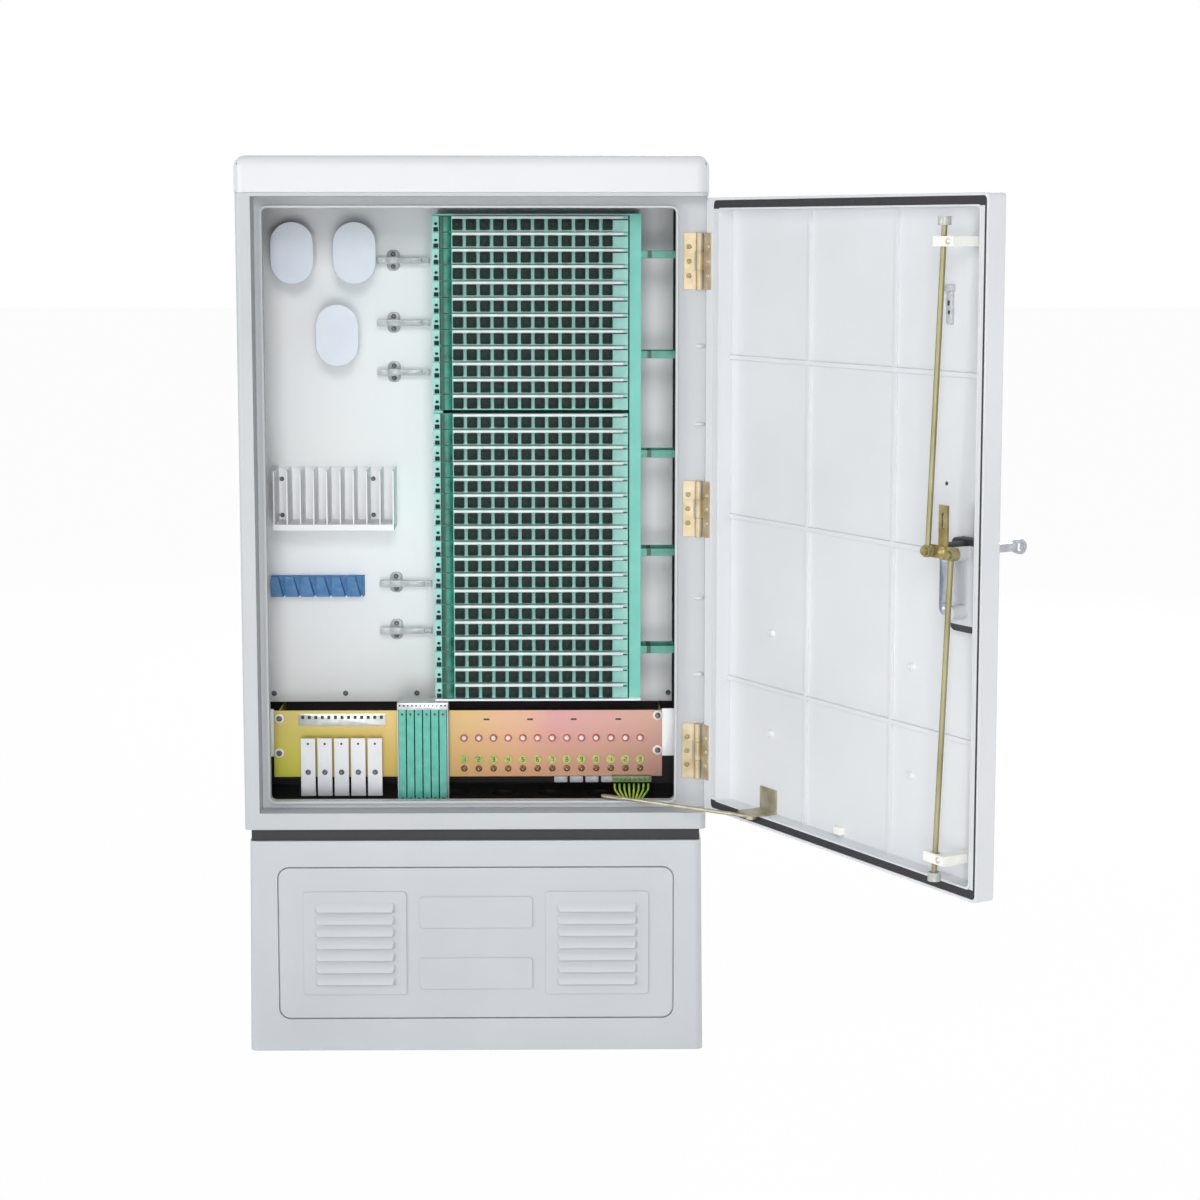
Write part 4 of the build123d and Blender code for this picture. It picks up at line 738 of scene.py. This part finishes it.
# Numbers: plain stencilled digits on the discs, built up from short bars, and dark slots in the sheet.
bar_length, bar_width, bar_height = 0.0034, 0.0011, 0.0003
lying = slab(rounded_box(bar_length, bar_width, 0.0003, 2), bar_height, 0.0001)
standing = slab(rounded_box(bar_width, bar_length, 0.0003, 2), bar_height, 0.0001)
half_bar = bar_length / 2
bar_places = {
    "a": (0.0, bar_length), "g": (0.0, 0.0), "d": (0.0, -bar_length), "b": (half_bar, half_bar),
    "c": (half_bar, -half_bar), "e": (-half_bar, -half_bar), "f": (-half_bar, half_bar),
}
digit_bars = ["bc", "abged", "abgcd", "fgbc", "afgcd", "afgedc", "abc", "abcdefg", "abcdfg", "abcdef"]
disc_face = panel_y - disc_thickness
digits = [
    seen_from_front(lying if bar in "agd" else standing,
                    [(x + bar_places[bar][0], disc_face, disc_level + bar_places[bar][1])])
    for x, bars in zip(post_x, digit_bars + digit_bars[:3]) for bar in bars
]
slot_shape = slab(rounded_box(0.0100, 0.0030, 0.0012, 3), 0.0004, 0.0001)
slots = seen_from_front(slot_shape, [(x, panel_y, 0.5238) for x in (0.0143, 0.0870, 0.1595, 0.2338)])
mesh_piece("panel_marks", *merged(slots, *digits), mark_dark, "cabinet", "dark_plate")

# End fixings: four white washers with screws, white brackets behind the panel's ends and a bright
# index strip with thirteen punched squares.
washer_places = [
    (-0.3304, panel_y, 0.5257), (-0.3312, panel_y, 0.4673),
    (0.2995, panel_y, 0.5299), (0.2995, panel_y, 0.4713),
]
washer_thickness = 0.0014
washer_profile = [(0.0080, 0.0), (0.0080, 0.0010), (0.0074, washer_thickness), (0.0002, washer_thickness)]
front_piece("panel_washers", round_grid(washer_profile, 28), washer_places, post_pale, "chrome_plate")
washer_faces = [(x, y - washer_thickness, z) for x, y, z in washer_places]
screws("panel_screws", washer_faces, to_front, 0.0048, 0.0026, steel_dark, "cabinet", "chrome_plate")
bracket_y, bracket_level, bracket_height, bracket_thickness = -0.0178, 0.5015, 0.0800, 0.0020
brackets = [
    seen_from_front(slab(rounded_box(width, bracket_height, 0.0010), bracket_thickness, 0.0004),
                    [(x, bracket_y, bracket_level)])
    for x, width in ((0.3215, 0.0300), (-0.3466, 0.0140))
]
mesh_piece("end_brackets", *merged(*brackets), white_coat, "cabinet", "white_sheet")
strip_silver = plain_finish("strip_silver", linear(206, 209, 206), 0.36, 0.4)
clouded(strip_silver, linear(194, 198, 194), linear(216, 218, 216), 90.0)
grained(strip_silver, 1500.0, 0.0001)
strip_thickness = 0.0012
strip_shape = slab(rounded_box(0.1452, 0.0209, 0.0010), strip_thickness, 0.0003)
front_piece("index_strip", strip_shape, [(-0.2261, panel_y, 0.5236)], strip_silver, "chrome_plate")
square_shape = slab(rounded_box(0.0052, 0.0056, 0.0008, 2), 0.0003, 0.0001)
square_places = [(-0.2915 + 0.0109 * k, panel_y - strip_thickness, 0.5280) for k in range(13)]
front_piece("index_squares", square_shape, square_places, mark_dark, "dark_plate")

# Splice bars: six moulded teal bars, the ends of splice cassettes, with a pin hole at top and foot;
# the sleeve's top is a perforated bright band.
splice_teal = plain_finish("splice_teal", linear(80, 172, 154), 0.4)
clouded(splice_teal, linear(70, 162, 144), linear(94, 182, 165), 70.0)
grained(splice_teal, 1300.0, 0.0002, 0.0008)
dress(splice_teal, "splice_bars")
sleeve_silver = plain_finish("sleeve_silver", linear(200, 205, 208), 0.3, 0.6)
clouded(sleeve_silver, linear(186, 192, 196), linear(212, 216, 218), 120.0)
grained(sleeve_silver, 900.0, 0.0001)
bar_pitch, first_bar = 0.0134, -0.1295
bar_x = [first_bar + bar_pitch * (k + 0.5) for k in range(6)]
bar_face, sleeve_face, band_thickness = -0.0700, -0.0702, 0.0012
band_shape = slab(rounded_box(0.0834, 0.0110, 0.0006), band_thickness, 0.0003)
front_piece("sleeve_band", band_shape, [(-0.0893, sleeve_face, 0.5552)], sleeve_silver, "chrome_plate")
hole_shape = round_grid([(0.0020, 0.0), (0.0020, 0.0003), (0.0002, 0.0003)], 14)
small_hole = (hole_shape[0] * (0.8, 0.8, 1.0), hole_shape[1])
pin_holes = [(x, bar_face, z) for x in bar_x for z in (0.4010, 0.5420)]
band_holes = [(-0.1268 + 0.0068 * k, sleeve_face - band_thickness, 0.5568) for k in range(12)]
mesh_piece("splice_holes", *merged(seen_from_front(hole_shape, pin_holes),
                                   seen_from_front(small_hole, band_holes)),
           mark_dark, "cabinet", "dark_plate")

# Clamps: bent strips of bright zinc-plated steel that hold the incoming cables' jackets, each with
# one round-head screw and a small hole above it.
clamp_zinc = plain_finish("clamp_zinc", linear(208, 211, 214), 0.4, 0.3)
clouded(clamp_zinc, linear(202, 205, 208), linear(214, 217, 219), 20.0)
grained(clamp_zinc, 1000.0, 0.00015, 0.0008)
dress(clamp_zinc, "cable_clamps")
clamp_x, clamp_face = [-0.281 + 0.0277 * k for k in range(5)], -0.0450
clamp_screw_places = [(x, clamp_face, 0.4401) for x in clamp_x]
screws("clamp_screws", clamp_screw_places, to_front, 0.0046, 0.0030, steel_dark, "cabinet", "chrome_plate")
front_piece("clamp_holes", hole_shape, [(x, clamp_face, 0.4879) for x in clamp_x], mark_dark, "dark_plate")

# Earth bar: a green terminal strip under the panel's lower edge for eight green and yellow earth wires,
# beside four grey grommets.
strip_green = plain_finish("strip_green", linear(104, 132, 78), 0.45)
clouded(strip_green, linear(84, 116, 62), linear(130, 150, 96), 150.0)
grained(strip_green, 1300.0, 0.0002)
terminal_depth = 0.0140
terminal = slab(rounded_box(0.0660, 0.0100, 0.0010), terminal_depth, 0.0006)
terminals = front_piece("terminal_strip", terminal, [(0.2560, panel_y, 0.4245)], strip_green, "tray_green")
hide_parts("earth_bar")
terminal_places = [(0.2280 + 0.0080 * k, panel_y - terminal_depth, 0.4250) for k in range(8)]
screws("terminal_screws", terminal_places, to_front, 0.0024, 0.0010, steel_dark, "cabinet", "chrome_plate")
grommet_grey = plain_finish("grommet_grey", linear(166, 168, 172), 0.5)
clouded(grommet_grey, linear(152, 154, 158), linear(180, 182, 185), 120.0)
grained(grommet_grey, 1300.0, 0.0002)
grommet = merged(slab(rounded_box(0.0220, 0.0100, 0.0020), 0.0100, 0.0010),
                 moved(slab(rounded_box(0.0180, 0.0062, 0.0014), 0.0004, 0.0002), 0.0, 0.0, 0.0100))
grommet_places = [(0.138 + 0.026 * k, panel_y, 0.4235) for k in range(4)]
front_piece("grommets", grommet, grommet_places, grommet_grey, "nylon")
wire_skin = plain_finish("wire_skin", linear(150, 196, 58), 0.45)
clouded(wire_skin, linear(96, 170, 52), linear(206, 214, 66), 90.0)
grained(wire_skin, 1500.0, 0.0001)
dress(wire_skin, "earth_wires")

# Gland plate: dark steel sheet screwed over the cable entry in the floor, punched with round entries
# for the cable glands.
gland_dark = plain_finish("gland_dark", linear(44, 44, 44), 0.5, 0.3)
clouded(gland_dark, linear(38, 38, 38), linear(54, 54, 54), 30.0)
grained(gland_dark, 1200.0, 0.0002)
dress(gland_dark, "gland_plate")

# Studio: a pale floor that stays near white and keeps a soft shadow,
# broad lamps in front, behind and at the sides, and a camera level with the top of the case.
floor_half = 40.0
corners = [(-1, -1), (1, -1), (1, 1), (-1, 1)]
floor_mesh = bpy.data.meshes.new("studio_floor")
floor_mesh.from_pydata([(floor_half * x, floor_half * y, 0) for x, y in corners], [], [(0, 1, 2, 3)])
floor = bpy.data.objects.new("studio_floor", floor_mesh)
bpy.context.scene.collection.objects.link(floor)


def seen_directly(tree):
    """Mask that is one for camera, glossy and transmission rays: the greatest of the three."""
    path = tree.nodes.new("ShaderNodeLightPath")
    mask = path.outputs["Is Camera Ray"]
    for ray in ("Is Glossy Ray", "Is Transmission Ray"):
        either = tree.nodes.new("ShaderNodeMath")
        either.operation = "MAXIMUM"
        tree.links.new(mask, either.inputs[0])
        tree.links.new(path.outputs[ray], either.inputs[1])
        mask = either.outputs[0]
    return mask


def blended(tree, mask, unseen, seen, output):
    """Shader that is the first where a mask is nought and the second where it is one, sent to an output."""
    blend = tree.nodes.new("ShaderNodeMixShader")
    tree.links.new(mask, blend.inputs["Fac"])
    tree.links.new(unseen.outputs[0], blend.inputs[1])
    tree.links.new(seen.outputs[0], blend.inputs[2])
    tree.links.new(blend.outputs[0], tree.nodes.new(output).inputs["Surface"])


pale_floor = bpy.data.materials.new("pale_floor")
pale_floor.use_nodes = True
tree = pale_floor.node_tree
tree.nodes.clear()
lit = tree.nodes.new("ShaderNodeBsdfDiffuse")
lit.inputs["Color"].default_value = (0.97, 0.97, 0.97, 1)
glow = tree.nodes.new("ShaderNodeEmission")
glow.inputs["Strength"].default_value = 1.0
share = tree.nodes.new("ShaderNodeMath")
share.operation = "MULTIPLY"
share.inputs[1].default_value = 0.97
tree.links.new(seen_directly(tree), share.inputs[0])
blended(tree, share.outputs[0], lit, glow, "ShaderNodeOutputMaterial")
floor_mesh.materials.append(pale_floor)

world = bpy.data.worlds.new("studio_world")
bpy.context.scene.world = world
world.use_nodes = True
tree = world.node_tree
tree.nodes.clear()
ambient = tree.nodes.new("ShaderNodeBackground")
ambient.inputs["Color"].default_value = (0.97, 0.98, 1.0, 1)
ambient.inputs["Strength"].default_value = 0.3
white = tree.nodes.new("ShaderNodeBackground")
white.inputs["Color"].default_value = (1.0, 1.0, 1.0, 1)
white.inputs["Strength"].default_value = 1.0
blended(tree, seen_directly(tree), ambient, white, "ShaderNodeOutputWorld")


def hung(name, lamp, place, target):
    """A lamp at a place, turned so that its beam runs to the target point."""
    holder = bpy.data.objects.new(name, lamp)
    holder.location = place
    aim = Vector(target) - Vector(place)
    holder.rotation_euler = aim.to_track_quat("-Z", "Y").to_euler()
    bpy.context.scene.collection.objects.link(holder)


def soft_lamp(name, place, target, size, watts):
    """A square area lamp of a given side and power, aimed at a target."""
    lamp = bpy.data.lights.new(name, "AREA")
    lamp.shape = "SQUARE"
    lamp.size = size
    lamp.energy = watts
    hung(name, lamp, place, target)


soft_lamp("key_lamp", (0.15, -5.2, 2.9), (0.1, 0.0, 0.8), 1.4, 67)
soft_lamp("low_lamp", (0.15, -5.2, 0.5), (0.1, 0.0, 0.7), 1.4, 69)
soft_lamp("left_lamp", (-4.0, -2.6, 1.6), (0.4, -0.3, 0.9), 2.0, 76)
soft_lamp("top_lamp", (0.2, -0.6, 4.2), (0.1, -0.1, 0.8), 2.6, 18)
soft_lamp("back_lamp", (1.2, 4.6, 2.4), (0.0, 0.2, 0.8), 2.4, 130)
soft_lamp("side_lamp", (4.8, 0.6, 2.0), (0.4, 0.0, 0.8), 2.4, 55)
bay_lamp = bpy.data.lights.new("bay_lamp", "SPOT")
bay_lamp.energy = 90
bay_lamp.spot_size = math.radians(14)
bay_lamp.spot_blend = 0.9
bay_lamp.shadow_soft_size = 0.3
hung("bay_lamp", bay_lamp, (0.15, -5.2, 1.5), (0.06, 0.1, 0.64))

camera = bpy.data.objects.new("camera", bpy.data.cameras.new("camera"))
camera.data.sensor_width = 36.0
photo_side, focal_pixels = 1200, 2524.7
camera.data.lens = focal_pixels / photo_side * camera.data.sensor_width
camera.data.shift_y = -0.055
camera.location = (0.1537, -4.1627, 1.3319)
look_down, look_right = math.radians(6.845), 0.0120
camera.rotation_euler = (math.pi / 2 - look_down, 0, -look_right)
bpy.context.scene.collection.objects.link(camera)
bpy.context.scene.camera = camera
bpy.context.scene.view_settings.view_transform = "Standard"
